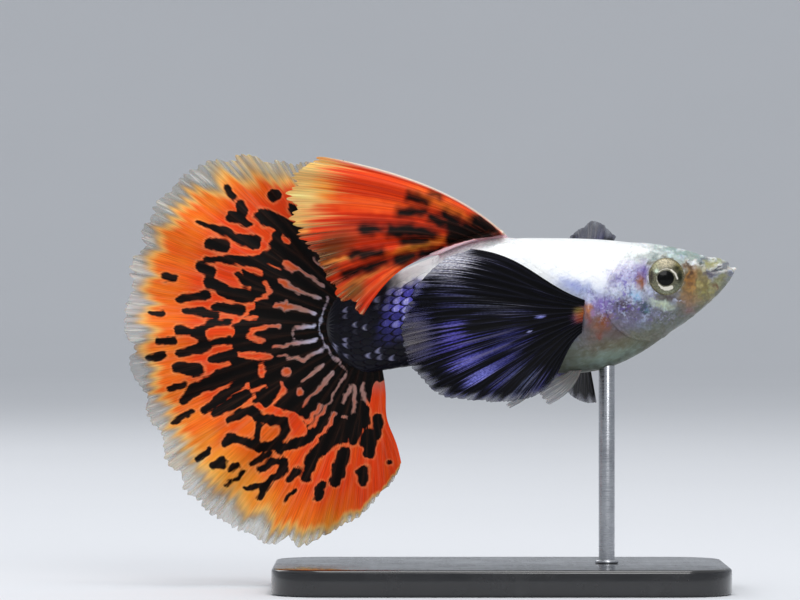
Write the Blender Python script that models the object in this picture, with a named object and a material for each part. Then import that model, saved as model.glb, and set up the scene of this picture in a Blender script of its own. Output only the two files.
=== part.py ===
"""A male fancy guppy with ear-like pectoral fins, life-size, held on a small display stand.

The fish faces +X and shows its right side to -Y. Z is up and the floor is Z = 0.
The origin is the middle of the stand's underside. Every size below is in millimetres,
and finished meshes are scaled to metres. Curves are lists of (place, value) points that
smooth_value runs a smooth line through.
"""

import math
import random

import bmesh
import bpy
from mathutils import Matrix, Vector

MM = 0.001
GAP = 0.3
SEED = 7

# The body's outline from the side, as (X, Z) along the back and along the belly
BACK_LINE = (
    (-9.5, 23.35), (-7.5, 24.1), (-5.25, 25.0), (-2.25, 26.0), (0.5, 26.45), (4.1, 26.5), (7.5, 26.4),
    (10.5, 26.1), (12.4, 25.85), (14.25, 25.45), (15.5, 25.02), (16.1, 24.98), (16.7, 24.8), (17.1, 24.45),
    (17.35, 24.24), (17.7, 24.16),
)
BELLY_LINE = (
    (-9.5, 16.25), (-6.0, 16.75), (-3.0, 16.6), (0.5, 16.35), (4.1, 16.15), (6.4, 16.2), (8.4, 16.65),
    (10.5, 17.65), (12.2, 18.8), (12.9, 19.35), (14.5, 20.5), (15.5, 21.35), (16.5, 22.3), (17.3, 23.3),
    (17.7, 24.02),
)
HALF_WIDTH = (
    (-9.5, 0.95), (-7.5, 1.35), (-4.5, 1.8), (-1.5, 2.2), (1.5, 2.5), (4.5, 2.65), (7.5, 2.6),
    (10.5, 2.3), (12.5, 2.0), (14.25, 1.6), (15.5, 1.3), (16.5, 0.98), (17.1, 0.72), (17.7, 0.26),
)
# How square the cross section is above and below its widest level, 2 for an ellipse
BACK_FULLNESS = ((-9.5, 2.0), (4.0, 2.1), (12.0, 2.6), (17.7, 2.3))
BELLY_FULLNESS = ((-9.5, 2.0), (4.0, 1.9), (12.0, 1.85), (17.7, 2.1))
WIDEST_LEVEL = 0.56
SNOUT_X = 17.7
SNOUT_ROUNDING = 0.03
RING_POINTS = 32
CORE_Z = 21.0

# The body bends to +Y behind the dorsal fin
BEND_START_X = 2.0
BEND_LENGTH = 21.0
BEND_SIDEWAYS = 3.9

# The gill cover's rear edge, where head and trunk part: X on the back, the flank and the throat
GILL_X_BACK = 9.8
GILL_X_FLANK = 7.7
GILL_X_THROAT = 12.3
GILL_THROAT_SHARPNESS = 2.2
GILL_HOLLOW = Vector((9.3, 0.0, 21.5))
GILL_FLARE = 0.16
GILL_FLARE_LENGTH = 0.35
HEAD_RINGS = 20
TRUNK_RINGS = 18
TRUNK_END_X = -5.1

# The tail stalk ends in a half round that the tail fan grows from
STALK_CENTRE = Vector((-9.5, 0.0, 19.8))
STALK_RADIUS = 3.6
STALK_EDGE_HALF_WIDTH = 0.42
STALK_LEVEL_RISE = 0.12
STALK_RINGS = 6
STALK_END_RINGS = 8
STALK_END_SHARE = 0.95

EYE_CENTRE = Vector((12.5, 1.46, 23.35))
EYE_AXES = Vector((1.27, 0.74, 1.42))
EYE_AROUND = 20
SOCKET_AROUND = 24
ORBIT_RADIUS = 0.16
ORBIT_MARGIN = 0.28
ORBIT_SINK = 0.05
ORBIT_POINTS = 20
ORBIT_SIDES = 6

MOUTH_CORNER = Vector((15.35, 0.0, 23.78))
MOUTH_FRONT = Vector((17.3, 0.0, 24.25))
MOUTH_OPEN = 0.12
MOUTH_REACH = 1.0
UPPER_LIP_FRONT_X = 16.95
UPPER_LIP_RADIUS = 0.24
UPPER_LIP_LIFT = 0.27
LOWER_LIP_FRONT_X = 17.62
LOWER_LIP_RADIUS = 0.18
LOWER_LIP_LIFT = -0.17
LIP_CORNER_SHARE = 0.5
LIP_STEPS = 8
LIP_SIDES = 8
NOSTRILS = ((14.15, 24.5, 0.17), (15.0, 24.45, 0.13))
NOSTRIL_DEPTH = 0.3

# Fins: sheets with a ridge for each ray, thin only at the tips
MEMBRANE = 0.5
TIP_THICKNESS = 0.22
TIP_SHARE = 0.2
RAY_FADE = 0.6
RAY_TIP_LOSS = (0.0, 0.45)
WEB_TIP_LOSS = (0.8, 1.3)

# Tail fan: reach from the stalk's centre by ray angle in degrees, where 180 is straight back
TAIL_REACH = (
    (99, 12.7), (117, 14.0), (131, 17.2), (145, 18.8), (165, 19.0), (184, 18.85), (203, 18.5), (225, 19.1),
    (240, 18.7), (250, 17.9), (262, 15.4), (281.5, 10.8),
)
TAIL_RAYS = 35
TAIL_STATIONS = 11
TAIL_RIDGE = 0.34
TAIL_FRINGE = 0.05
TAIL_RUFFLE = 0.8
TAIL_FOLDS = 11.0
TAIL_FOLD_PHASE = 0.6
TAIL_SMALL_FOLD = (2.3, 0.45)
# The fan's front lower edge is hollow: how many degrees it gives way, and at what reach
TAIL_HOLLOW = 3.5
TAIL_HOLLOW_REACH = 6.8
TAIL_HOLLOW_LENGTH = 1.7
TAIL_HOLLOW_FROM = 0.9

# Dorsal fin: each ray is a curve from its root over a bend to its tip. The free edge is by share from
# the front ray to the rear one
DORSAL_ROOT_X = (0.35, -4.3)
DORSAL_BEND_FRONT = (-3.5, 30.85)
DORSAL_BEND_REAR = (-7.9, 24.9)
DORSAL_EDGE_X = ((0.0, -14.0), (0.2, -16.0), (0.45, -15.6), (0.65, -13.95), (0.85, -12.5), (1.0, -10.3))
DORSAL_EDGE_Z = ((0.0, 32.6), (0.2, 30.6), (0.45, 27.0), (0.65, 24.9), (0.85, 22.2), (1.0, 20.5))
DORSAL_RAYS = 17
DORSAL_STATIONS = 9
DORSAL_RIDGE = 0.26
DORSAL_FRINGE = 0.05
DORSAL_LEAN = 1.5
DORSAL_LEAN_FRONT = 0.45
DORSAL_RUFFLE = 0.45
DORSAL_FOLDS = 4.5

# Pectoral fins: both grow from a fleshy root on the flank, top and low corner as (X, Z)
PECTORAL_ROOT_TOP = (6.55, 21.75)
PECTORAL_ROOT_LOW = (6.3, 19.3)
PECTORAL_PAD = Vector((0.75, 0.5, 1.5))
PECTORAL_PAD_FORWARD = 0.2
PECTORAL_PAD_OUT = 0.05
PECTORAL_RAYS = 14
PECTORAL_STATIONS = 9
PECTORAL_RIDGE = 0.24
PECTORAL_FRINGE = 0.07
PECTORAL_RUFFLE = 0.32
PECTORAL_FOLDS = 2.75

# Right pectoral fin, swept back along the flank: reach by ray angle in degrees, where 180 is back
NEAR_REACH = (
    (155, 9.0), (162, 10.5), (169, 11.7), (179, 12.85), (187, 13.3), (195, 13.2), (202, 12.5),
    (209, 11.7), (216, 9.9), (227, 7.7), (240, 5.4), (246, 3.7),
)
NEAR_ROOT_BACK = 0.75
NEAR_FLARE = 0.2
# How many degrees its front edge arches up halfway along
NEAR_ARCH = 6.5

# Left pectoral fin, spread sideways like an ear: reach and how far forward the tip is, by ray angle in
# degrees, where 90 is up and 0 is straight out
FAR_REACH = ((-58, 6.4), (-35, 8.9), (0, 11.8), (30, 10.1), (42, 8.9), (52, 8.0), (62, 5.5))
FAR_FORWARD = ((-58, 1.3), (-30, -2.0), (0, -2.9), (30, -1.1), (42, -0.4), (52, 0.45), (62, 2.2))
FAR_ROOT_ROUND = 0.35

# Pelvic fins, small and held back under the belly
PELVIC_ROOT_X = (6.1, 5.2)
PELVIC_SIDE = 0.72
PELVIC_SPREAD = 0.75
PELVIC_TIP = (3.55, 13.85)
PELVIC_TIP_SLANT = (-0.9, 1.15)
PELVIC_BULGE = 0.35
PELVIC_DROP = 0.4
PELVIC_RAYS = 5
PELVIC_STATIONS = 6
PELVIC_RIDGE = 0.14
PELVIC_FRINGE = 0.08

# The male's narrow anal fin
GONOPODIUM_ROOT_X = (3.5, 2.5)
GONOPODIUM_TIP = (0.65, 13.6)
GONOPODIUM_TIP_WIDTH = 0.3
GONOPODIUM_SAG = 0.3
GONOPODIUM_RAYS = 3
GONOPODIUM_STATIONS = 7
GONOPODIUM_RIDGE = 0.15
GONOPODIUM_FRINGE = 0.05

STAND_LENGTH = 34.0
STAND_WIDTH = 21.0
STAND_THICKNESS = 2.0
STAND_CORNER = 4.0
STAND_EDGE = 0.4
ROD_X = 8.0
ROD_RADIUS = 0.6
ROD_SINK = 1.0
ROD_SIDES = 20
ROD_ROUGH_TOP = 15.0


def smooth_value(points, x):
    """The height at x of a smooth curve through (x, height) points in rising order of x."""
    if x <= points[0][0]:
        return points[0][1]
    if x >= points[-1][0]:
        return points[-1][1]
    i = next(k for k in range(len(points) - 1) if x <= points[k + 1][0])
    (x0, y0), (x1, y1) = points[i], points[i + 1]
    slope = (y1 - y0) / (x1 - x0)
    before = points[i - 1] if i > 0 else None
    after = points[i + 2] if i + 2 < len(points) else None
    slope0 = slope if before is None else (y1 - before[1]) / (x1 - before[0])
    slope1 = slope if after is None else (after[1] - y0) / (after[0] - x0)
    span = x1 - x0
    t = (x - x0) / span
    return (
        (2 * t**3 - 3 * t**2 + 1) * y0
        + (t**3 - 2 * t**2 + t) * slope0 * span
        + (3 * t**2 - 2 * t**3) * y1
        + (t**3 - t**2) * slope1 * span
    )


def ease(t):
    """0 to 1 with no slope at either end."""
    t = min(1.0, max(0.0, t))
    return t * t * (3 - 2 * t)


def mix(a, b, t):
    return a + (b - a) * t


def spine_y(x):
    """How far the body's middle plane lies to +Y at x."""
    along = max(0.0, BEND_START_X - x)
    return BEND_SIDEWAYS * math.sin(math.pi / 2 * along / BEND_LENGTH) ** 2


def section(x):
    """Top, bottom, widest level and half width of the body at x."""
    if x >= STALK_CENTRE.x:
        top = smooth_value(BACK_LINE, x)
        bottom = smooth_value(BELLY_LINE, x)
        return top, bottom, mix(bottom, top, WIDEST_LEVEL), smooth_value(HALF_WIDTH, x)
    back = min(1.0, (STALK_CENTRE.x - x) / STALK_RADIUS)
    half = STALK_RADIUS * math.sqrt(max(0.0, 1 - back * back))
    middle = STALK_CENTRE.z
    level = middle + STALK_LEVEL_RISE * half * (1 - back)
    return middle + half, middle - half, level, mix(HALF_WIDTH[0][1], STALK_EDGE_HALF_WIDTH, ease(back))


def fullness(x, upper):
    return smooth_value(BACK_FULLNESS if upper else BELLY_FULLNESS, x)


def body_point(x, angle, grow=0.0):
    """The skin's point at x and at an angle round the body, 0 on the +Y flank and 90 degrees on the back."""
    top, bottom, level, half = section(x)
    c, s = math.cos(angle), math.sin(angle)
    power = 2 / fullness(x, s > 0)
    height = (top - level if s > 0 else level - bottom) + grow
    y = math.copysign(abs(c) ** power, c) * (half + grow)
    z = math.copysign(abs(s) ** power, s) * height
    return Vector((x, spine_y(x) + y, level + z))


def flank_reach(x, z, clear=0.0):
    """Half width of the body at x and z, grown by clear all round, and 0 above or below it."""
    if x < STALK_CENTRE.x - STALK_RADIUS - clear or x > SNOUT_X:
        return 0.0
    top, bottom, level, half = section(max(x, STALK_CENTRE.x - STALK_RADIUS))
    upper = z > level
    share = abs(z - level) / ((top - level if upper else level - bottom) + clear)
    if share >= 1:
        return 0.0
    power = fullness(x, upper)
    return (half + clear) * (1 - share**power) ** (1 / power)


def belly_z(x, y):
    """Height of the belly's skin at x, y to one side of the middle plane."""
    bottom, level, half = section(x)[1:]
    power = fullness(x, False)
    return level - (level - bottom) * (1 - (abs(y) / half) ** power) ** (1 / power)


def material(name, colour, roughness, metallic=0.0):
    made = bpy.data.materials.new(name)
    made.use_nodes = True
    shader = made.node_tree.nodes["Principled BSDF"]
    shader.inputs["Base Color"].default_value = (*colour, 1.0)
    shader.inputs["Roughness"].default_value = roughness
    shader.inputs["Metallic"].default_value = metallic
    return made


def add_object(name, mesh, finish):
    """Puts a mesh in the scene under a name, with one material."""
    obj = bpy.data.objects.new(name, mesh)
    bpy.context.scene.collection.objects.link(obj)
    mesh.materials.clear()
    mesh.materials.append(finish)
    return obj


def mesh_from(name, bm):
    """A mesh of what a bmesh holds, with its faces pointing out."""
    bmesh.ops.recalc_face_normals(bm, faces=bm.faces)
    mesh = bpy.data.meshes.new(name)
    bm.to_mesh(mesh)
    bm.free()
    mesh.shade_smooth()
    mesh.set_sharp_from_angle(angle=math.radians(40))
    return mesh


def tube_faces(bm, rings, closed):
    """Joins rings of vertices in a row into a tube, back to the first ring if closed."""
    count = len(rings[0])
    followers = rings[1:] + rings[:1] if closed else rings[1:]
    for a, b in zip(rings, followers):
        for i in range(count):
            j = (i + 1) % count
            bm.faces.new((a[i], a[j], b[j], b[i]))


def loft(name, rings, start, end):
    """A closed mesh through rings of points, each end closed by a fan to its own point."""
    bm = bmesh.new()
    made = [[bm.verts.new(p) for p in ring] for ring in rings]
    tube_faces(bm, made, closed=False)
    count = len(rings[0])
    for ring, centre in ((made[0], start), (made[-1], end)):
        hub = bm.verts.new(centre)
        for i in range(count):
            bm.faces.new((ring[i], ring[(i + 1) % count], hub))
    return mesh_from(name, bm)


def apply_modifiers(obj):
    graph = bpy.context.evaluated_depsgraph_get()
    mesh = bpy.data.meshes.new_from_object(obj.evaluated_get(graph))
    obj.modifiers.clear()
    obj.data = mesh


def keep_largest_surface(obj):
    """Leaves only the closed surface that has the most faces."""
    bm = bmesh.new()
    bm.from_mesh(obj.data)
    left = set(bm.faces)
    groups = []
    while left:
        group = set()
        edge_on = [left.pop()]
        while edge_on:
            face = edge_on.pop()
            group.add(face)
            near = {f for e in face.edges for f in e.link_faces} & left
            left -= near
            edge_on.extend(near)
        groups.append(group)
    largest = max(groups, key=len)
    extra = [f for group in groups if group is not largest for f in group]
    bmesh.ops.delete(bm, geom=extra, context="FACES")
    bm.to_mesh(obj.data)
    bm.free()


def combine(obj, pieces, operation):
    """Joins closed pieces to an object, or cuts them from it, and removes them."""
    helpers = bpy.data.collections.new("helpers")
    bpy.context.scene.collection.children.link(helpers)
    for piece in pieces:
        bpy.context.scene.collection.objects.unlink(piece)
        helpers.objects.link(piece)
    modifier = obj.modifiers.new("Combine", "BOOLEAN")
    modifier.operation = operation
    modifier.operand_type = "COLLECTION"
    modifier.collection = helpers
    modifier.solver = "EXACT"
    bpy.context.view_layer.update()
    apply_modifiers(obj)
    for piece in pieces:
        bpy.data.objects.remove(piece)
    bpy.data.collections.remove(helpers)
    keep_largest_surface(obj)


def ellipsoid(name, centre, axes, finish, around=16, rings=10):
    """A closed ball stretched along its three axes, its poles on the Y axis."""
    bm = bmesh.new()
    bmesh.ops.create_uvsphere(bm, u_segments=around, v_segments=rings, radius=1.0)
    bmesh.ops.transform(bm, matrix=Matrix.Rotation(math.pi / 2, 4, "X"), verts=bm.verts)
    bmesh.ops.transform(bm, matrix=Matrix.Diagonal((*axes, 1.0)), verts=bm.verts)
    bmesh.ops.translate(bm, vec=centre, verts=bm.verts)
    return add_object(name, mesh_from(name, bm), finish)


def cylinder(name, radius, low, high, finish):
    """An upright closed cylinder on the rod's axis."""
    bm = bmesh.new()
    bmesh.ops.create_cone(
        bm, cap_ends=True, segments=ROD_SIDES, radius1=radius, radius2=radius, depth=high - low
    )
    bmesh.ops.translate(bm, vec=(ROD_X, 0, (low + high) / 2), verts=bm.verts)
    return add_object(name, mesh_from(name, bm), finish)


def gill_x(angle):
    """X of the gill cover's rear edge at an angle round the body."""
    s = math.sin(angle)
    if s > 0:
        return mix(GILL_X_FLANK, GILL_X_BACK, ease(s))
    return mix(GILL_X_FLANK, GILL_X_THROAT, (-s) ** GILL_THROAT_SHARPNESS)


def ring_angles():
    return [2 * math.pi * (k + 0.5) / RING_POINTS for k in range(RING_POINTS)]


def mirrored(point, side):
    return Vector((point.x, side * point.y, point.z))


def orbit_ring(side, finish):
    """The raised rim of skin round an eye, on the flank's own curve."""
    path = []
    for k in range(ORBIT_POINTS):
        a = 2 * math.pi * k / ORBIT_POINTS
        x = EYE_CENTRE.x + (EYE_AXES.x + ORBIT_MARGIN) * math.cos(a)
        z = EYE_CENTRE.z + (EYE_AXES.z + ORBIT_MARGIN) * math.sin(a)
        path.append(Vector((x, side * (flank_reach(x, z) - ORBIT_SINK), z)))
    bm = bmesh.new()
    rings = []
    out = Vector((0, side, 0))
    for i, point in enumerate(path):
        along = (path[(i + 1) % ORBIT_POINTS] - path[i - 1]).normalized()
        across = along.cross(out).normalized()
        turns = [2 * math.pi * k / ORBIT_SIDES for k in range(ORBIT_SIDES)]
        rings.append([
            bm.verts.new(point + ORBIT_RADIUS * (math.cos(t) * across + math.sin(t) * out)) for t in turns
        ])
    tube_faces(bm, rings, closed=True)
    return add_object("orbit", mesh_from("orbit", bm), finish)


def lip(front_x, lift, radius, finish):
    """A lip, from one corner of the mouth round the front to the other, thickest in front."""
    slope = (MOUTH_FRONT.z - MOUTH_CORNER.z) / (MOUTH_FRONT.x - MOUTH_CORNER.x)
    side = []
    for k in range(LIP_STEPS + 1):
        t = math.sin(math.pi / 2 * k / LIP_STEPS)
        x = mix(MOUTH_CORNER.x, front_x, t)
        z = MOUTH_CORNER.z + slope * (x - MOUTH_CORNER.x) + lift
        y = flank_reach(x, z) * math.sqrt(1 - min(1.0, t) ** 6)
        side.append(Vector((x, y, z)))
    path = side + [mirrored(p, -1) for p in reversed(side[:-1])]
    up = Vector((0, 0, 1))
    rings = []
    for i, point in enumerate(path):
        along = (path[min(i + 1, len(path) - 1)] - path[max(i - 1, 0)]).normalized()
        across = along.cross(up).normalized()
        round_up = across.cross(along)
        size = radius * mix(LIP_CORNER_SHARE, 1.0, math.sin(math.pi * i / (len(path) - 1)))
        turns = [2 * math.pi * k / LIP_SIDES for k in range(LIP_SIDES)]
        rings.append([point + size * (math.cos(t) * across + math.sin(t) * round_up) for t in turns])
    return add_object("lip", loft("lip", rings, path[0], path[-1]), finish)


def mouth_cutter(finish):
    """A thin slanting wedge that parts the jaws, from ahead of the mouth to its corners."""
    slope = (MOUTH_FRONT.z - MOUTH_CORNER.z) / (MOUTH_FRONT.x - MOUTH_CORNER.x)
    ahead = MOUTH_FRONT + MOUTH_REACH * Vector((1, 0, slope))
    width = 3 * HALF_WIDTH[0][1] + MOUTH_REACH
    bm = bmesh.new()
    bmesh.ops.create_cube(bm, size=1.0)
    for v in bm.verts:
        end, thick = (ahead, MOUTH_OPEN) if v.co.x > 0 else (MOUTH_CORNER, 0.6 * MOUTH_OPEN)
        v.co = Vector((end.x, width * v.co.y, end.z + thick * v.co.z))
    return add_object("mouth", mesh_from("mouth", bm), finish)


def make_head(finish):
    """Head with gill covers, lips, mouth line, nostrils and eye sockets."""
    rings = []
    for k in range(1, HEAD_RINGS + 1):
        share = 1 - math.cos(math.pi / 2 * k / HEAD_RINGS)
        ring = []
        for angle in ring_angles():
            edge = gill_x(angle)
            x = mix(SNOUT_X, edge, share)
            from_edge = (x - edge) / GILL_FLARE_LENGTH
            flare = GILL_FLARE * math.exp(-from_edge * from_edge) * math.sqrt(abs(math.cos(angle)))
            ring.append(body_point(x, angle, flare))
        rings.append(ring)
    tip = Vector((SNOUT_X + SNOUT_ROUNDING, 0, (BACK_LINE[-1][1] + BELLY_LINE[-1][1]) / 2))
    head = add_object("head", loft("head", rings, tip, GILL_HOLLOW), finish)
    added = [
        lip(UPPER_LIP_FRONT_X, UPPER_LIP_LIFT, UPPER_LIP_RADIUS, finish),
        lip(LOWER_LIP_FRONT_X, LOWER_LIP_LIFT, LOWER_LIP_RADIUS, finish),
    ]
    added += [orbit_ring(side, finish) for side in (-1, 1)]
    combine(head, added, "UNION")
    cutters = [mouth_cutter(finish)]
    socket = EYE_AXES + Vector((GAP, GAP, GAP))
    for side in (-1, 1):
        cutters.append(ellipsoid("socket", mirrored(EYE_CENTRE, side), socket, finish, SOCKET_AROUND))
        for x, z, radius in NOSTRILS:
            at = Vector((x, side * flank_reach(x, z), z))
            cutters.append(ellipsoid("nostril", at, (radius, NOSTRIL_DEPTH, 0.8 * radius), finish, 8, 6))
    combine(head, cutters, "DIFFERENCE")


def make_eye(name, side, finish):
    ellipsoid(name, mirrored(EYE_CENTRE, side), EYE_AXES, finish, EYE_AROUND)


def pectoral_pad(side, finish):
    """The fleshy root that a pectoral fin grows from."""
    x = (PECTORAL_ROOT_TOP[0] + PECTORAL_ROOT_LOW[0]) / 2 + PECTORAL_PAD_FORWARD
    z = (PECTORAL_ROOT_TOP[1] + PECTORAL_ROOT_LOW[1]) / 2
    at = Vector((x, side * (flank_reach(x, z) + PECTORAL_PAD_OUT), z))
    return ellipsoid("pad", at, PECTORAL_PAD, finish)


def make_trunk(finish):
    """Trunk from the gill covers to the tail stalk, with the roots of the pectoral fins."""
    end = TRUNK_END_X + GAP / 2
    rings = []
    for k in range(TRUNK_RINGS + 1):
        share = k / TRUNK_RINGS
        rings.append([body_point(mix(gill_x(a) - GAP, end, share), a) for a in ring_angles()])
    rear = Vector((end, spine_y(end), CORE_Z))
    front = GILL_HOLLOW - Vector((GAP, 0, 0))
    trunk = add_object("trunk", loft("trunk", rings, front, rear), finish)
    combine(trunk, [pectoral_pad(side, finish) for side in (-1, 1)], "UNION")


def make_tail_stalk(finish):
    """The stalk behind the trunk, ending in the half round that carries the tail fan."""
    front = TRUNK_END_X - GAP / 2
    last = STALK_CENTRE.x - STALK_RADIUS
    places = [mix(front, STALK_CENTRE.x, k / STALK_RINGS) for k in range(STALK_RINGS + 1)]
    for k in range(1, STALK_END_RINGS + 1):
        turn = math.pi / 2 * STALK_END_SHARE * k / STALK_END_RINGS
        places.append(STALK_CENTRE.x - STALK_RADIUS * math.sin(turn))
    rings = [[body_point(x, a) for a in ring_angles()] for x in places]
    start = Vector((front, spine_y(front), CORE_Z))
    end = Vector((last, spine_y(last), STALK_CENTRE.z))
    add_object("tail_stalk", loft("tail_stalk", rings, start, end), finish)


def fin_grid(bm, name, place, rays, stations, fringe, ridge):
    """Columns of vertices over a fin's middle surface, each with its thickness as a weight.

    Every other column is a ray, which is thicker and whose tip stands past the membrane.
    """
    draw = random.Random(f"{SEED} {name}")
    columns = 2 * rays - 1
    weight = bm.verts.layers.deform.verify()
    grid = []
    for c in range(columns):
        on_ray = c % 2 == 0
        reach = 1 - fringe * draw.uniform(*(RAY_TIP_LOSS if on_ray else WEB_TIP_LOSS))
        column = []
        for s in range(stations):
            along = s / (stations - 1) * reach
            raised = ridge * (1 - RAY_FADE * along) if on_ray else 0.0
            thickness = mix(MEMBRANE + raised, TIP_THICKNESS, ease((along - 1 + TIP_SHARE) / TIP_SHARE))
            vert = bm.verts.new(place(c / (columns - 1), along))
            vert[weight][0] = thickness
            column.append(vert)
        grid.append(column)
    return grid


def make_fin(name, place, rays, stations, fringe, ridge, finish):
    """A solid fin of rays and membrane, ridged and split into triangles alike on both faces.

    place(across, along) gives the middle surface, with both arguments from 0 to 1.
    """
    bm = bmesh.new()
    grid = fin_grid(bm, name, place, rays, stations, fringe, ridge)
    for left, right in zip(grid, grid[1:]):
        for s in range(stations - 1):
            bm.faces.new((left[s], right[s], right[s + 1]))
            bm.faces.new((left[s], right[s + 1], left[s + 1]))
    mesh = bpy.data.meshes.new(name)
    bm.to_mesh(mesh)
    bm.free()
    mesh.shade_smooth()
    mesh.set_sharp_from_angle(angle=math.radians(60))
    fin = add_object(name, mesh, finish)
    fin.vertex_groups.new(name="thickness")
    solidify = fin.modifiers.new("Thickness", "SOLIDIFY")
    solidify.thickness = 1.0
    solidify.offset = 0.0
    solidify.vertex_group = "thickness"
    solidify.thickness_vertex_group = 0.0
    apply_modifiers(fin)


def tail_point(across, along):
    """The tail fan's middle surface, from the stalk's edge out, in folds that deepen to the edge."""
    degrees = mix(TAIL_REACH[0][0], TAIL_REACH[-1][0], across)
    reach = mix(STALK_RADIUS + GAP, smooth_value(TAIL_REACH, degrees), along)
    hollow = TAIL_HOLLOW * math.exp(-(((reach - TAIL_HOLLOW_REACH) / TAIL_HOLLOW_LENGTH) ** 2))
    near_edge = ease((across - TAIL_HOLLOW_FROM) / (1 - TAIL_HOLLOW_FROM))
    angle = math.radians(degrees - hollow * near_edge)
    x = STALK_CENTRE.x + reach * math.cos(angle)
    z = STALK_CENTRE.z + reach * math.sin(angle)
    pitch, size = TAIL_SMALL_FOLD
    wave = math.sin(TAIL_FOLDS * angle + TAIL_FOLD_PHASE) + size * math.sin(pitch * TAIL_FOLDS * angle)
    return Vector((x, spine_y(x) + TAIL_RUFFLE * wave * along**1.6, z))


def dorsal_point(across, along):
    """The dorsal fin's middle surface: it trails back and drapes over the stalk's -Y side."""
    t = along
    root_x = mix(*DORSAL_ROOT_X, across)
    root_z = smooth_value(BACK_LINE, root_x) + GAP
    bend_x = mix(DORSAL_BEND_FRONT[0], DORSAL_BEND_REAR[0], across)
    bend_z = mix(DORSAL_BEND_FRONT[1], DORSAL_BEND_REAR[1], across)
    tip_x, tip_z = smooth_value(DORSAL_EDGE_X, across), smooth_value(DORSAL_EDGE_Z, across)
    x = (1 - t) ** 2 * root_x + 2 * t * (1 - t) * bend_x + t * t * tip_x
    z = (1 - t) ** 2 * root_z + 2 * t * (1 - t) * bend_z + t * t * tip_z
    lean = DORSAL_LEAN * mix(DORSAL_LEAN_FRONT, 1.0, across) * t**0.8
    ruffle = DORSAL_RUFFLE * math.sin(2 * math.pi * DORSAL_FOLDS * across + 0.5) * t**1.3
    y = mix(spine_y(root_x), 0.0, ease(2 * t)) - lean + ruffle
    reach = flank_reach(x, z, GAP + 0.75 * MEMBRANE)
    if reach > 0 and t > 0:
        y = min(y, spine_y(x) - reach)
    return Vector((x, y, z))


def near_pectoral_point(across, along):
    """The right pectoral fin's middle surface, fanned back and standing a little off the body."""
    degrees = mix(NEAR_REACH[0][0], NEAR_REACH[-1][0], across)
    angle = math.radians(degrees - NEAR_ARCH * (1 - across) ** 3 * math.sin(math.pi * along))
    root_x = mix(PECTORAL_ROOT_TOP[0], PECTORAL_ROOT_LOW[0], across) - NEAR_ROOT_BACK
    root_z = mix(PECTORAL_ROOT_TOP[1], PECTORAL_ROOT_LOW[1], across)
    reach = smooth_value(NEAR_REACH, degrees) * along
    x = root_x + reach * math.cos(angle)
    z = root_z + reach * math.sin(angle)
    out = flank_reach(root_x, root_z) + GAP + MEMBRANE / 2 + NEAR_FLARE * reach
    ruffle = PECTORAL_RUFFLE * math.sin(2 * math.pi * PECTORAL_FOLDS * across) * along**1.4
    nearest = flank_reach(x, z, GAP + 0.8 * MEMBRANE)
    return Vector((x, spine_y(x) - max(out + ruffle, nearest), z))


def far_pectoral_point(across, along):
    """The left pectoral fin's middle surface, spread sideways like an ear."""
    degrees = mix(FAR_REACH[-1][0], FAR_REACH[0][0], across)
    angle = math.radians(degrees)
    root_x = mix(PECTORAL_ROOT_TOP[0], PECTORAL_ROOT_LOW[0], across) + PECTORAL_PAD_FORWARD
    root_z = mix(PECTORAL_ROOT_TOP[1], PECTORAL_ROOT_LOW[1], across)
    from_middle = abs(2 * across - 1)
    pad_out = PECTORAL_PAD_OUT + PECTORAL_PAD.y - FAR_ROOT_ROUND * from_middle**2
    root_y = flank_reach(root_x, root_z) + pad_out + GAP
    reach = smooth_value(FAR_REACH, degrees) * along
    forward = smooth_value(FAR_FORWARD, degrees) * along**1.3
    ruffle = PECTORAL_RUFFLE * math.sin(2 * math.pi * PECTORAL_FOLDS * across) * along**1.4
    y = root_y + reach * math.cos(angle)
    return Vector((root_x + forward + ruffle, y, root_z + reach * math.sin(angle)))


def pelvic_place(side):
    """The rule for the middle surface of the pelvic fin on one side."""

    def place(across, along):
        root_x = mix(*PELVIC_ROOT_X, across)
        root_z = belly_z(root_x, PELVIC_SIDE) - PELVIC_DROP
        tip_x = PELVIC_TIP[0] + PELVIC_TIP_SLANT[0] * across
        tip_z = PELVIC_TIP[1] + PELVIC_TIP_SLANT[1] * across
        bulge = PELVIC_BULGE * math.sin(math.pi * along) * (0.5 - across)
        y = side * (PELVIC_SIDE + PELVIC_SPREAD * along)
        return Vector((mix(root_x, tip_x, along) + bulge, y, mix(root_z, tip_z, along) - bulge))

    return place


def gonopodium_point(across, along):
    """The middle surface of the male's narrow anal fin."""
    root_x = mix(*GONOPODIUM_ROOT_X, across)
    root_z = smooth_value(BELLY_LINE, root_x) - GAP
    width = GONOPODIUM_TIP_WIDTH * across
    x = mix(root_x, GONOPODIUM_TIP[0] - width, along)
    z = mix(root_z, GONOPODIUM_TIP[1] + width, along) - GONOPODIUM_SAG * math.sin(math.pi * along)
    return Vector((x, 0.0, z))


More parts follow.
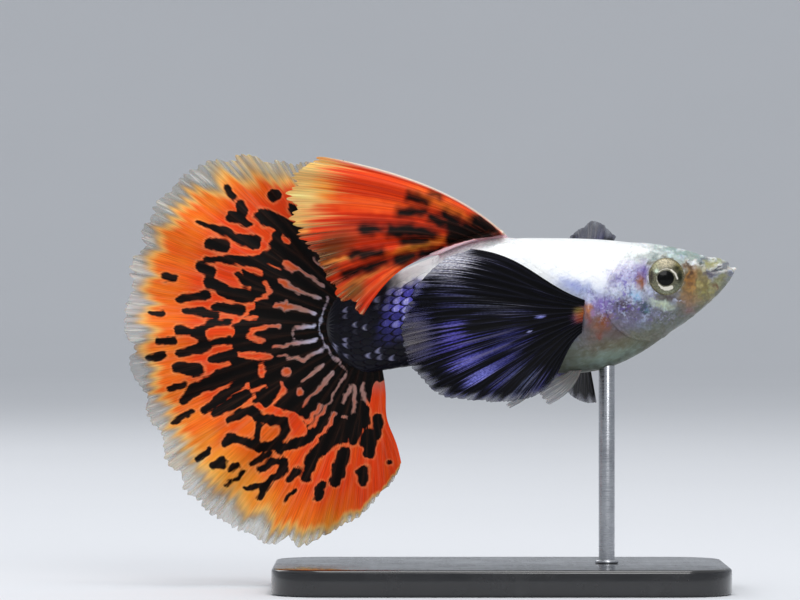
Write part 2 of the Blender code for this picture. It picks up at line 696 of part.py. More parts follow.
def make_stand_base(finish):
    """A flat plate with round corners, a soft upper edge and a socket for the rod."""
    bm = bmesh.new()
    bmesh.ops.create_cube(bm, size=1.0)
    size = Matrix.Diagonal((STAND_LENGTH, STAND_WIDTH, STAND_THICKNESS, 1.0))
    bmesh.ops.transform(bm, matrix=size, verts=bm.verts)
    bmesh.ops.translate(bm, vec=(0, 0, STAND_THICKNESS / 2), verts=bm.verts)
    upright = [e for e in bm.edges if abs(e.verts[0].co.z - e.verts[1].co.z) > STAND_THICKNESS / 2]
    bmesh.ops.bevel(bm, geom=upright, offset=STAND_CORNER, segments=6, profile=0.5, affect="EDGES")
    rim = [e for e in bm.edges if all(v.co.z > STAND_THICKNESS / 2 for v in e.verts)]
    bmesh.ops.bevel(bm, geom=rim, offset=STAND_EDGE, segments=2, profile=0.5, affect="EDGES")
    base = add_object("stand_base", mesh_from("stand_base", bm), finish)
    floor = STAND_THICKNESS - ROD_SINK
    combine(base, [cylinder("socket", ROD_RADIUS + GAP, floor, 2 * STAND_THICKNESS, finish)], "DIFFERENCE")


def make_stand_rod(finish):
    """The rod, its top cut to the slope of the breast."""
    rod = cylinder("stand_rod", ROD_RADIUS, STAND_THICKNESS - ROD_SINK + GAP, ROD_ROUGH_TOP, finish)
    for v in rod.data.vertices:
        if v.co.z > STAND_THICKNESS:
            v.co.z = belly_z(v.co.x, v.co.y) - GAP


def clear_scene():
    for obj in list(bpy.data.objects):
        bpy.data.objects.remove(obj)


def main():
    clear_scene()
    skin = material("pearl_skin", (0.86, 0.87, 0.9), 0.3)
    blue = material("blue_scales", (0.16, 0.2, 0.55), 0.3, 0.4)
    eye = material("eye", (0.05, 0.05, 0.04), 0.1)
    orange = material("orange_fin", (0.85, 0.22, 0.04), 0.45)
    black = material("black_fin", (0.02, 0.02, 0.06), 0.4)
    grey = material("clear_fin", (0.3, 0.32, 0.36), 0.4)
    acrylic = material("stand_black", (0.03, 0.03, 0.03), 0.35)
    steel = material("stand_steel", (0.6, 0.6, 0.62), 0.3, 1.0)
    make_head(skin)
    make_trunk(skin)
    make_tail_stalk(blue)
    make_eye("eye_right", -1, eye)
    make_eye("eye_left", 1, eye)
    make_fin("tail_fin", tail_point, TAIL_RAYS, TAIL_STATIONS, TAIL_FRINGE, TAIL_RIDGE, orange)
    make_fin("dorsal_fin", dorsal_point, DORSAL_RAYS, DORSAL_STATIONS, DORSAL_FRINGE, DORSAL_RIDGE, orange)
    for name, place in (
        ("pectoral_fin_right", near_pectoral_point),
        ("pectoral_fin_left", far_pectoral_point),
    ):
        make_fin(name, place, PECTORAL_RAYS, PECTORAL_STATIONS, PECTORAL_FRINGE, PECTORAL_RIDGE, black)
    for name, side in (("pelvic_fin_right", -1), ("pelvic_fin_left", 1)):
        make_fin(name, pelvic_place(side), PELVIC_RAYS, PELVIC_STATIONS, PELVIC_FRINGE, PELVIC_RIDGE, grey)
    make_fin(
        "gonopodium", gonopodium_point, GONOPODIUM_RAYS, GONOPODIUM_STATIONS, GONOPODIUM_FRINGE,
        GONOPODIUM_RIDGE, grey,
    )
    make_stand_base(acrylic)
    make_stand_rod(steel)
    for obj in bpy.data.objects:
        obj.data.transform(Matrix.Scale(MM, 4))


main()
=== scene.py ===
"""The looks of a life-size male fancy guppy, held on a small display stand.

The fish faces +X and shows its right side to -Y. Z is up and the floor is Z = 0. Sizes are in
millimetres and are scaled to metres as each mesh is filled in. The body and the fins follow the same
curves as the solids do, with scales, ray ridges, lips and lids added.
"""

import logging
import math
from dataclasses import dataclass
from enum import Enum

import bpy
import numpy as np
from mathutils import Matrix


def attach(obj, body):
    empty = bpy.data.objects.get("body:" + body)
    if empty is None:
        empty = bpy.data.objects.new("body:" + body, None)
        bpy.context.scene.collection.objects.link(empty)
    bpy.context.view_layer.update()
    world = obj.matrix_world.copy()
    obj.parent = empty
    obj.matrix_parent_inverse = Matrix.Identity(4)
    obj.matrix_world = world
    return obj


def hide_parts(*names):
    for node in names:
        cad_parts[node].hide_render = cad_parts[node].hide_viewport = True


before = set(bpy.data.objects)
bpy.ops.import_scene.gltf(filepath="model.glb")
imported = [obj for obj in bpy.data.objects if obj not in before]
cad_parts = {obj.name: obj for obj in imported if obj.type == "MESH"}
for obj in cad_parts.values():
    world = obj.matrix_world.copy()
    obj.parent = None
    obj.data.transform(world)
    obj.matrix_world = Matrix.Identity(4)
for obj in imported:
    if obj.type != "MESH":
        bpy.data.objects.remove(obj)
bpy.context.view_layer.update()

log = logging.getLogger("guppy")

MM = 0.001
Array = np.ndarray
Point = tuple[float, float]
Colour = tuple[float, float, float]
Vector = tuple[float, float, float]
Stroke = tuple[float, ...]
Socket = bpy.types.NodeSocket
FULL_TURN = 2 * math.pi


def paint(red: float, green: float, blue: float) -> Colour:
    """Turns a screen colour into the light that a shader mixes.

    Args:
        red: Red, from 0 to 255.
        green: Green, from 0 to 255.
        blue: Blue, from 0 to 255.

    Returns:
        The colour in linear light, each from 0 to 1.
    """
    return tuple(
        c / 12.92 if c <= 0.04045 else ((c + 0.055) / 1.055) ** 2.4
        for c in (red / 255, green / 255, blue / 255)
    )


def mix(a: Array | float, b: Array | float, t: Array | float) -> Array | float:
    """Returns the value a share t of the way from a to b."""
    return a + (b - a) * t


def tinge(colours: Array, colour: Colour, share: Array) -> Array:
    """Mixes one colour into rows of colours, by a share for each row."""
    return mix(colours, np.array(colour), share[:, None])


def ease(t: Array | float) -> Array:
    """Returns t from 0 to 1 with no slope at either end."""
    t = np.clip(t, 0.0, 1.0)
    return t * t * (3 - 2 * t)


def bell(distance: Array, width: float) -> Array:
    """Returns 1 at no distance, falling smoothly to nothing past about twice the width."""
    return np.exp(-((distance / width) ** 2))


@dataclass(frozen=True)
class Curve:
    """A smooth line through (place, value) points in rising order of place."""

    points: tuple[Point, ...]

    def at(self, places: Array | float) -> Array:
        """Reads the line.

        Args:
            places: Where to read it. Past either end the end's value holds.

        Returns:
            The value at each place.
        """
        px, py = np.array(self.points, float).T
        x = np.clip(np.asarray(places, float), px[0], px[-1])
        i = np.clip(np.searchsorted(px, x, side="left") - 1, 0, len(px) - 2)
        chord = np.diff(py) / np.diff(px)
        through = (py[2:] - py[:-2]) / (px[2:] - px[:-2])
        slopes = np.concatenate((chord[:1], through, chord[-1:]))
        span = px[i + 1] - px[i]
        t = (x - px[i]) / span
        return (
            (2 * t**3 - 3 * t**2 + 1) * py[i]
            + (t**3 - 2 * t**2 + t) * slopes[i] * span
            + (3 * t**2 - 2 * t**3) * py[i + 1]
            + (t**3 - t**2) * slopes[i + 1] * span
        )


@dataclass(frozen=True)
class Ripple:
    """Smooth seeded noise, a sum of waves of about one size, which bends drawn marks a little."""

    seed: int
    size: float
    waves: int = 16

    def at(self, *axes: Array) -> Array:
        """Reads the noise.

        Args:
            *axes: The place along each axis, in the units of size.

        Returns:
            Values round 0, mostly between -1 and 1.
        """
        draw = np.random.default_rng(self.seed)
        total = np.zeros(np.shape(axes[0]))
        for _ in range(self.waves):
            way = draw.normal(size=len(axes))
            way *= draw.uniform(0.6, 1.5) * FULL_TURN / (self.size * np.linalg.norm(way))
            phase = draw.uniform(0, FULL_TURN)
            total += np.cos(sum(w * a for w, a in zip(way, axes)) + phase)
        return total / math.sqrt(self.waves)


@dataclass(frozen=True)
class Patch:
    """A soft-edged oval of colour on a side view, given by its centre and half sizes.

    Its long way is turned up by tilt degrees, and strength is how far it covers what is under it.
    """

    x: float
    z: float
    wide: float
    high: float
    colour: Colour = (0.0, 0.0, 0.0)
    tilt: float = 0.0
    strength: float = 1.0

    def cover(self, x: Array, z: Array) -> Array:
        """Measures how much of each place the patch covers.

        Args:
            x: Places along the body.
            z: Their heights.

        Returns:
            The shares, from 0 to 1.
        """
        c, s = math.cos(math.radians(self.tilt)), math.sin(math.radians(self.tilt))
        dx, dz = x - self.x, z - self.z
        away = ((dx * c + dz * s) / self.wide) ** 2 + ((dz * c - dx * s) / self.high) ** 2
        return self.strength * np.exp(-0.85 * away**1.35)


def ovals(*rows: tuple[float | Colour, ...]) -> tuple[Patch, ...]:
    """Makes patches from rows of centre, half sizes and screen colour, then any tilt and strength."""
    return tuple(Patch(*row[:4], paint(*row[4]), *row[5:]) for row in rows)


def lay_patches(base: Array, patches: tuple[Patch, ...], x: Array, z: Array) -> Array:
    """Lays patches of colour over a base, in order.

    Args:
        base: Colours, one row a place.
        patches: What to lay on them.
        x: Each place along the body.
        z: Each place's height.

    Returns:
        The colours with the patches on them.
    """
    for patch in patches:
        base = tinge(base, patch.colour, patch.cover(x, z))
    return base


def stroke_gap(
    strokes: tuple[Stroke, ...], x: Array, z: Array, merge: float = 0.01, taper: float = 0.0
) -> Array:
    """Measures how far places are from the edge of the nearest brush stroke.

    Args:
        strokes: Each has its half width, then both coordinates of each point it runs through.
        x: Each place's first coordinate.
        z: Each place's second coordinate.
        merge: How softly strokes that come near each other run together.
        taper: Share of its width that a stroke loses towards its last point.

    Returns:
        The distances, negative inside a stroke.
    """
    nearness = np.full(np.shape(x), -np.inf)
    for half, *flat in strokes:
        points = list(zip(flat[::2], flat[1::2]))
        ends = points[1:] or points
        for k, ((ax, az), (bx, bz)) in enumerate(zip(points, ends)):
            dx, dz = bx - ax, bz - az
            length = dx * dx + dz * dz
            t = np.clip(((x - ax) * dx + (z - az) * dz) / length, 0, 1) if length else 0.0
            width = half * (1 - taper * ((k + t) / len(ends)) ** 2)
            gap = np.hypot(x - ax - t * dx, z - az - t * dz) - width
            nearness = np.logaddexp(nearness, -gap / merge)
    return -merge * nearness


@dataclass(frozen=True)
class Body:
    """The fish's outline and cross sections, as the solids have them."""

    back: Curve = Curve((
        (-9.5, 23.35), (-7.5, 24.1), (-5.25, 25.0), (-2.25, 26.0), (0.5, 26.45), (4.1, 26.5), (7.5, 26.4),
        (10.5, 26.1), (12.4, 25.85), (14.25, 25.45), (15.5, 25.02), (16.1, 24.98), (16.7, 24.8),
        (17.1, 24.45), (17.35, 24.24), (17.7, 24.16),
    ))
    belly: Curve = Curve((
        (-9.5, 16.25), (-6.0, 16.75), (-3.0, 16.6), (0.5, 16.35), (4.1, 16.15), (6.4, 16.2), (8.4, 16.65),
        (10.5, 17.65), (12.2, 18.8), (12.9, 19.35), (14.5, 20.5), (15.5, 21.35), (16.5, 22.3), (17.3, 23.3),
        (17.7, 24.02),
    ))
    half_width: Curve = Curve((
        (-9.5, 0.95), (-7.5, 1.35), (-4.5, 1.8), (-1.5, 2.2), (1.5, 2.5), (4.5, 2.65), (7.5, 2.6),
        (10.5, 2.3), (12.5, 2.0), (14.25, 1.6), (15.5, 1.3), (16.5, 0.98), (17.1, 0.72), (17.7, 0.26),
    ))
    back_fullness: Curve = Curve(((-9.5, 2.0), (4.0, 2.1), (12.0, 2.6), (17.7, 2.3)))
    belly_fullness: Curve = Curve(((-9.5, 2.0), (4.0, 1.9), (12.0, 1.85), (17.7, 2.1)))
    widest_level: float = 0.56
    snout_x: float = 17.73
    bend_start_x: float = 2.0
    bend_length: float = 21.0
    bend_sideways: float = 3.9
    stalk_x: float = -9.5
    stalk_z: float = 19.8
    stalk_radius: float = 3.6
    stalk_edge_half: float = 0.3
    stalk_level_rise: float = 0.12

    def spine(self, x: Array | float) -> Array:
        """Returns how far the body's middle plane lies to +Y at x."""
        along = np.maximum(0.0, self.bend_start_x - np.asarray(x, float))
        return self.bend_sideways * np.sin(math.pi / 2 * along / self.bend_length) ** 2

    def section(self, x: Array | float) -> tuple[Array, Array, Array, Array]:
        """Measures the body's cross section.

        Args:
            x: Places along the body.

        Returns:
            Its top, bottom, widest level and half width.
        """
        x = np.asarray(x, float)
        top, bottom = self.back.at(x), self.belly.at(x)
        level = mix(bottom, top, self.widest_level)
        behind = np.clip((self.stalk_x - x) / self.stalk_radius, 0.0, 1.0)
        half = self.stalk_radius * np.sqrt(1 - behind**2)
        on_end = x < self.stalk_x
        return (
            np.where(on_end, self.stalk_z + half, top),
            np.where(on_end, self.stalk_z - half, bottom),
            np.where(on_end, self.stalk_z + self.stalk_level_rise * half * (1 - behind), level),
            mix(self.half_width.at(x), self.stalk_edge_half, ease(behind)),
        )

    def point(self, x: Array, angle: Array, grow: Array | float = 0.0, shrink: Array | float = 1.0) -> Array:
        """Finds points on the skin.

        Args:
            x: Place along the body.
            angle: Angle round it, 0 on the +Y flank and a quarter turn on the back.
            grow: Distance outside the solid's surface.
            shrink: Scale of the cross section, for the rounding at the snout.

        Returns:
            The points, one row each.
        """
        top, bottom, level, half = self.section(x)
        c, s = np.cos(angle), np.sin(angle)
        upper = s > 0
        power = 2 / np.where(upper, self.back_fullness.at(x), self.belly_fullness.at(x))
        height = (np.where(upper, top - level, level - bottom) + grow) * shrink
        y = np.sign(c) * np.abs(c) ** power * (half + grow) * shrink
        z = np.sign(s) * np.abs(s) ** power * height
        return np.stack((x + 0 * y, self.spine(x) + y, level + z), axis=-1)

    def flank(self, x: Array, z: Array, clear: float = 0.0) -> Array:
        """Measures the body's half width.

        Args:
            x: Places along the body.
            z: Their heights.
            clear: How far outside the skin to measure.

        Returns:
            The half widths, 0 off the body.
        """
        x, z = np.broadcast_arrays(np.asarray(x, float), np.asarray(z, float))
        rear = self.stalk_x - self.stalk_radius
        top, bottom, level, half = self.section(np.maximum(x, rear))
        upper = z > level
        share = np.abs(z - level) / (np.where(upper, top - level, level - bottom) + clear)
        power = np.where(upper, self.back_fullness.at(x), self.belly_fullness.at(x))
        reach = (half + clear) * (1 - np.minimum(share, 1.0) ** power) ** (1 / power)
        return np.where((x < rear - clear) | (x > self.snout_x), 0.0, reach)

    def belly_z(self, x: Array, y: Array | float) -> Array:
        """Finds the belly's skin.

        Args:
            x: Places along the body.
            y: Distance to one side of the middle plane.

        Returns:
            Its heights.
        """
        _, bottom, level, half = self.section(x)
        power = self.belly_fullness.at(x)
        share = np.minimum(np.abs(y) / half, 1.0)
        return level - (level - bottom) * (1 - share**power) ** (1 / power)

    def gill_x(self, angle: Array) -> Array:
        """Finds the gill cover's rear edge.

        Args:
            angle: Angle round the body.

        Returns:
            X of the edge at each angle.
        """
        s = np.sin(angle)
        above = mix(7.7, 9.8, ease(np.maximum(s, 0)))
        below = mix(7.7, 12.3, np.maximum(-s, 0) ** 2.2)
        return np.where(s > 0, above, below)


BODY = Body()


@dataclass(frozen=True)
class Orbit:
    """Where an eye lies on its flank, and its half sizes."""

    x: float = 12.38
    y: float = 1.46
    z: float = 23.5
    half_x: float = 1.31
    half_z: float = 1.37

    def away(self, x: Array, z: Array) -> Array:
        """Returns how far places are from the eye's middle, 1 at its rim."""
        return np.hypot((x - self.x) / self.half_x, (z - self.z) / self.half_z)


ORBIT = Orbit()


class Shader:
    """Builds one material's nodes round its Principled shader."""

    def __init__(self, name: str) -> None:
        """Starts a material.

        Args:
            name: The material's name.
        """
        self.material = bpy.data.materials.new(name)
        self.material.use_nodes = True
        self.nodes = self.material.node_tree.nodes
        self.links = self.material.node_tree.links
        self.main = self.nodes["Principled BSDF"]

    def feed(self, socket: Socket, value: object) -> None:
        """Gives an input a number or colour, or links another node's output to it.

        Args:
            socket: The input.
            value: The number, colour or output.
        """
        if isinstance(value, bpy.types.NodeSocket):
            self.links.new(value, socket)
        elif isinstance(value, tuple) and len(value) == 3 and socket.type == "RGBA":
            socket.default_value = (*value, 1.0)
        else:
            socket.default_value = value

    def set(self, **values: object) -> None:
        """Sets the Principled shader's inputs, named with _ for each space."""
        for name, value in values.items():
            self.feed(self.main.inputs[name.replace("_", " ")], value)

    def node(
        self, kind: str, inputs: dict[str | int, object], output: str | int = 0, **settings: object
    ) -> Socket:
        """Adds a node.

        Args:
            kind: Its type.
            inputs: What feeds its inputs, by name or number.
            output: The output to return, by name or number.
            **settings: Its own settings.

        Returns:
            That output.
        """
        made = self.nodes.new(kind)
        for name, value in settings.items():
            setattr(made, name, value)
        for name, value in inputs.items():
            self.feed(made.inputs[name], value)
        return made.outputs[output]

    def place(self, scale: Vector = (1000.0, 1000.0, 1000.0)) -> Socket:
        """Returns the object's own coordinates, in millimetres unless another scale is given."""
        own = self.node("ShaderNodeTexCoord", {}, "Object")
        return self.node("ShaderNodeMapping", {"Vector": own, "Scale": scale})

    def sheet(self, name: str, across: float, along: float) -> Socket:
        """Returns a UV map's coordinates, stretched to the given counts across and along."""
        own = self.node("ShaderNodeUVMap", {}, uv_map=name)
        return self.node("ShaderNodeMapping", {"Vector": own, "Scale": (across, along, 1.0)})

    def colour_of(self, name: str) -> Socket:
        """Returns a colour attribute."""
        return self.node("ShaderNodeAttribute", {}, "Color", attribute_name=name)

    def value_of(self, name: str) -> Socket:
        """Returns a number attribute."""
        return self.node("ShaderNodeAttribute", {}, "Fac", attribute_name=name)

    def noise(self, where: Socket, scale: float, detail: float = 3.0, twist: float = 0.0) -> Socket:
        """Returns noise from 0 to 1 at a scale, with finer detail on it."""
        inputs = {"Vector": where, "Scale": scale, "Detail": detail, "Distortion": twist}
        return self.node("ShaderNodeTexNoise", inputs, "Fac")

    def cells(self, where: Socket, scale: float, feature: str = "F1", output: str = "Distance") -> Socket:
        """Returns one output of a pattern of cells."""
        return self.node("ShaderNodeTexVoronoi", {"Vector": where, "Scale": scale}, output, feature=feature)

    def maths(self, kind: str, a: object, b: object) -> Socket:
        """Returns two numbers put together by the named kind of sum."""
        return self.node("ShaderNodeMath", {0: a, 1: b}, operation=kind)

    def times(self, a: object, b: object) -> Socket:
        """Returns one number times another."""
        return self.maths("MULTIPLY", a, b)

    def fit(
        self, value: Socket, low: float, high: float, to_low: float = 0.0, to_high: float = 1.0
    ) -> Socket:
        """Returns a value moved smoothly from one range to another."""
        inputs = {"Value": value, "From Min": low, "From Max": high, "To Min": to_low, "To Max": to_high}
        return self.node("ShaderNodeMapRange", inputs, "Result", interpolation_type="SMOOTHSTEP")

    def blend(self, share: object, a: object, b: object, kind: str = "MIX") -> Socket:
        """Returns two colours mixed by a share."""
        return self.node("ShaderNodeMix", {0: share, 6: a, 7: b}, 2, data_type="RGBA", blend_type=kind)

    def stain(self, colour: object, tint: object) -> Socket:
        """Returns a colour multiplied by a tint."""
        return self.blend(1.0, colour, tint, "MULTIPLY")

    def bump(self, height: Socket, depth: float, strength: float = 1.0, **under: Socket) -> Socket:
        """Returns a normal roughened by a height, depth millimetres deep, over another Normal if any."""
        inputs = {"Strength": strength, "Distance": depth * MM, "Height": height, **under}
        return self.node("ShaderNodeBump", inputs)


@dataclass(frozen=True)
class SkinFinish:
    """Wet pearly skin: painted marks, metallic speckles and a clear slime coat."""

    name: str = "wet_pearl_skin"
    violet: Colour = paint(104, 84, 172)
    silver: Colour = paint(188, 194, 226)
    dusk: Colour = (0.4, 0.36, 0.5)
    mottle_dark: Colour = (0.76, 0.76, 0.76)
    mottle_light: Colour = (1.04, 1.04, 1.04)
    roughness: float = 0.38
    metal: float = 0.1
    coat: float = 0.25

    def make(self) -> bpy.types.Material:
        """Makes the material.

        Returns:
            The material.
        """
        s = Shader(self.name)
        place = s.place()
        speckle = s.value_of("speckle")
        grain = s.noise(place, 5.0, 4.0)
        mottling = s.blend(s.fit(grain, 0.3, 0.7), self.mottle_dark, self.mottle_light)
        mottled = s.stain(s.colour_of("tint"), mottling)
        spots = s.cells(place, 4.5, output="Color")
        hue = s.noise(place, 2.3, 2.0, 0.6)
        shade = s.times(s.fit(s.noise(place, 3.1, 4.0, 0.8), 0.5, 0.64), speckle)
        shaded = s.blend(s.times(shade, 0.8), mottled, s.stain(mottled, self.dusk))
        dust = s.maths("ADD", s.noise(place, 4.4, 5.0, 0.4), s.times(speckle, 0.06))
        dust = s.fit(dust, 0.5, 0.7)
        flecks = s.blend(s.fit(hue, 0.44, 0.56), self.violet, self.silver)
        flecks = s.blend(0.15, flecks, spots, "SOFT_LIGHT")
        s.set(
            Base_Color=s.blend(s.times(dust, s.times(speckle, 0.68)), shaded, flecks),
            Roughness=s.fit(grain, 0.2, 0.8, self.roughness - 0.08, self.roughness + 0.12),
            Metallic=self.metal,
            Coat_Weight=self.coat,
            Coat_Roughness=0.12,
            Subsurface_Weight=0.12,
            Subsurface_Scale=0.4 * MM,
        )
        small = s.bump(s.cells(place, 5.5, "SMOOTH_F1"), 0.02, 0.5)
        s.set(Normal=s.bump(grain, 0.03, 0.5, Normal=small))
        return s.material


@dataclass(frozen=True)
class ScaleFinish:
    """Thin shiny scales: a painted middle with painted glints, a dark net at the rim and fine growth rings.
    """

    name: str = "pearl_scales"
    net: Colour = paint(8, 8, 24)
    violet: Colour = paint(124, 108, 196)
    silver: Colour = paint(206, 214, 240)
    glint: Colour = (2.4, 2.3, 1.7)
    growth_rings: float = 3.2
    roughness: float = 0.36
    metal: float = 0.25
    coat: float = 0.08

    def make(self) -> bpy.types.Material:
        """Makes the material.

        Returns:
            The material.
        """
        s = Shader(self.name)
        place = s.place()
        tint, rim, net = s.colour_of("tint"), s.value_of("rim"), s.value_of("net")
        grain = s.noise(place, 7.0, 3.0)
        flecks = s.blend(s.fit(s.noise(place, 2.3, 2.0, 0.6), 0.44, 0.56), self.violet, self.silver)
        dust = s.fit(s.noise(place, 4.4, 5.0, 0.4), 0.48, 0.66)
        speckled = s.times(dust, s.times(s.value_of("speckle"), 0.7))
        tint = s.blend(speckled, tint, flecks)
        worn = s.times(s.maths("SUBTRACT", grain, 0.5), 0.5)
        edge = s.fit(s.maths("ADD", rim, worn), 0.45, 0.85)
        # Painted glints: spots picked by the grain where the net is dark are brightened by the glint colour.
        gleam = s.times(s.fit(grain, 0.5, 0.75), net)
        light = s.blend(gleam, tint, s.stain(tint, self.glint))
        s.set(
            Base_Color=s.blend(s.times(edge, net), light, self.net),
            Roughness=s.fit(grain, 0.2, 0.8, self.roughness - 0.06, self.roughness + 0.12),
            Metallic=self.metal,
            Specular_IOR_Level=0.14,
            Coat_Weight=self.coat,
            Coat_Roughness=0.1,
        )
        inputs = {"Vector": s.sheet("plate", 1.0, 1.0), "Scale": self.growth_rings}
        rings = s.node("ShaderNodeTexWave", inputs, "Fac", wave_type="RINGS", rings_direction="SPHERICAL")
        s.set(Normal=s.bump(rings, 0.012, 0.5, Normal=s.bump(grain, 0.02, 0.5)))
        return s.material


@dataclass(frozen=True)
class FinFinish:
    """A thin fin: painted light colour, dark pigment by distance, rays, streaks and a clear margin.

    About as many streaks as rays lie side by side, and each changes about lengthwise times. They push
    the pigment's edge about by jitter, and softness blurs it. Pale is how much the rays lighten the light
    colour, and dots how strongly dark dots break it up. Clear is how see-through the margin gets.
    """

    name: str
    ink: Colour
    ink_ray: Colour
    rays: float
    lengthwise: float
    pale: float = 0.2
    clear: float = 0.85
    roughness: float = 0.42
    softness: float = 0.07
    jitter: float = 0.2
    ray_end: Colour = paint(226, 226, 220)
    glow_through: float = 0.15
    dots: float = 0.0
    dot_tint: Colour = (0.2, 0.2, 0.34)
    strand_dark: Colour = (0.78, 0.7, 0.62)
    strand_light: Colour = (1.1, 1.1, 1.06)
    warm: Colour = (1.0, 0.86, 0.6)

    def make(self) -> bpy.types.Material:
        """Makes the material.

        Returns:
            The material.
        """
        s = Shader(self.name)
        streak = s.noise(s.sheet("UVMap", self.rays, self.lengthwise), 1.0, 1.0)
        strand = s.noise(s.sheet("UVMap", self.rays * 2.6, self.lengthwise * 0.7), 1.0, 2.0)
        lock = s.noise(s.sheet("UVMap", self.rays * 0.3, self.lengthwise * 0.25), 1.0, 2.0)
        ray, veil, ink = s.value_of("ray"), s.value_of("veil"), s.value_of("ink")
        jitter = s.times(s.maths("SUBTRACT", streak, 0.5), self.jitter)
        mask = s.fit(s.maths("ADD", ink, jitter), -self.softness, self.softness, 1.0, 0.0)
        tint = s.colour_of("tint")
        worn = s.stain(tint, s.blend(s.fit(strand, 0.3, 0.7), self.strand_dark, self.strand_light))
        if self.dots:
            dotted = s.noise(s.sheet("UVMap", self.rays * 0.9, self.lengthwise * 24), 1.0, 1.0)
            faint = s.fit(veil, 0.1, 0.4, self.dots, 0.0)
            share = s.times(s.fit(dotted, 0.42, 0.56), faint)
            worn = s.blend(share, worn, s.stain(worn, self.dot_tint))
        glow = s.blend(veil, s.blend(0.3, tint, self.warm), self.ray_end)
        wisp = s.times(s.fit(lock, 0.42, 0.6), s.fit(streak, 0.4, 0.62))
        wisp = s.times(wisp, s.fit(veil, 0.1, 0.7, 0.0, 0.9))
        paler = s.times(s.times(ray, self.pale), s.fit(lock, 0.35, 0.6))
        pale = s.blend(s.maths("MAXIMUM", paler, wisp), worn, glow)
        dark = s.blend(s.times(ray, s.fit(strand, 0.35, 0.7)), self.ink, self.ink_ray)
        firm = s.maths("MAXIMUM", wisp, s.times(strand, 0.5))
        thin = s.times(veil, s.fit(firm, 0.1, 0.8, 1.0, 0.45))
        s.set(
            Base_Color=s.blend(mask, pale, dark),
            Alpha=s.maths("SUBTRACT", 1.0, s.times(thin, self.clear)),
            Roughness=s.fit(strand, 0.2, 0.8, self.roughness - 0.06, self.roughness + 0.1),
            Subsurface_Weight=self.glow_through,
            Subsurface_Scale=0.3 * MM,
            Specular_IOR_Level=0.07,
            Normal=s.bump(strand, 0.03, 0.5),
        )
        return s.material


@dataclass(frozen=True)
class EyeFinish:
    """A glassy eye: painted iris, black pupil and a broken silver ring."""

    name: str = "guppy_eye"
    pupil: Colour = paint(1, 1, 1)
    ring: Colour = paint(226, 220, 206)
    iris_dark: Colour = (0.6, 0.6, 0.6)
    iris_light: Colour = (1.35, 1.3, 1.2)

    def make(self) -> bpy.types.Material:
        """Makes the material.

        Returns:
            The material.
        """
        s = Shader(self.name)
        place = s.place()
        grain = s.noise(place, 9.0, 3.0)
        iris = s.stain(s.colour_of("tint"), s.blend(s.fit(grain, 0.3, 0.7), self.iris_dark, self.iris_light))
        wobble = s.times(s.maths("SUBTRACT", grain, 0.5), 0.06)
        ring = s.fit(s.maths("ADD", s.value_of("ring"), wobble), -0.02, 0.03, 1.0, 0.0)
        pupil = s.fit(s.value_of("pupil"), -0.012, 0.012, 1.0, 0.0)
        s.set(
            Base_Color=s.blend(pupil, s.blend(ring, iris, self.ring), self.pupil),
            Metallic=s.times(s.maths("SUBTRACT", 1.0, pupil), s.fit(ring, 0.0, 1.0, 0.2, 0.5)),
            Roughness=s.fit(grain, 0.2, 0.8, 0.3, 0.42),
            Specular_IOR_Level=0.05,
            Coat_Weight=0.22,
            Coat_Roughness=0.02,
            Normal=s.bump(grain, 0.02, 0.5),
        )
        return s.material


@dataclass(frozen=True)
class AcrylicFinish:
    """Polished black acrylic with faint scuffs and dust."""

    name: str = "black_acrylic"
    colour: Colour = paint(22, 22, 24)
    dust: Colour = paint(52, 52, 54)
    scuff_scale: Vector = (1400.0, 90.0, 1000.0)

    def make(self) -> bpy.types.Material:
        """Makes the material.

        Returns:
            The material.
        """
        s = Shader(self.name)
        haze = s.noise(s.place(), 0.35, 4.0)
        scuffs = s.noise(s.place(self.scuff_scale), 1.0, 3.0)
        s.set(
            Base_Color=s.blend(s.fit(haze, 0.55, 0.85, 0.0, 0.5), self.colour, self.dust),
            Roughness=s.fit(s.maths("ADD", haze, s.times(scuffs, 0.4)), 0.4, 1.0, 0.12, 0.34),
            Coat_Weight=0.6,
            Coat_Roughness=0.06,
            Normal=s.bump(scuffs, 0.004, 0.3),
        )
        return s.material


@dataclass(frozen=True)
class SteelFinish:
    """Brushed stainless steel, its fine lines round the rod."""

    name: str = "brushed_steel"
    colour: Colour = paint(186, 188, 192)
    stained: Colour = paint(140, 141, 146)
    line_scale: Vector = (700.0, 700.0, 26000.0)

    def make(self) -> bpy.types.Material:
        """Makes the material.

        Returns:
            The material.
        """
        s = Shader(self.name)
        lines = s.noise(s.place(self.line_scale), 1.0, 2.0)
        stain = s.noise(s.place(), 0.8, 3.0)
        s.set(
            Base_Color=s.blend(s.fit(stain, 0.35, 0.75, 0.0, 0.4), self.colour, self.stained),
            Metallic=1.0,
            Roughness=s.fit(lines, 0.25, 0.75, 0.2, 0.38),
            Normal=s.bump(lines, 0.006, 0.5),
        )
        return s.material


@dataclass(frozen=True)
class FloorFinish:
    """Matt pale studio floor."""

    name: str = "pale_floor"
    colour: Colour = paint(226, 228, 232)
    darkest: float = 0.97
    cloud_scale: Vector = (12.0, 12.0, 12.0)

    def make(self) -> bpy.types.Material:
        """Makes the material.

        Returns:
            The material.
        """
        s = Shader(self.name)
        tone = s.noise(s.place(self.cloud_scale), 1.0, 2.0)
        darker = tuple(self.darkest * c for c in self.colour)
        s.set(Base_Color=s.blend(tone, self.colour, darker), Roughness=0.85)
        return s.material


def deselect() -> None:
    """Leaves nothing selected, so that an operator touches only what is added next."""
    if bpy.context.object is not None and bpy.context.object.mode != "OBJECT":
        bpy.ops.object.mode_set(mode="OBJECT")
    bpy.ops.object.select_all(action="DESELECT")


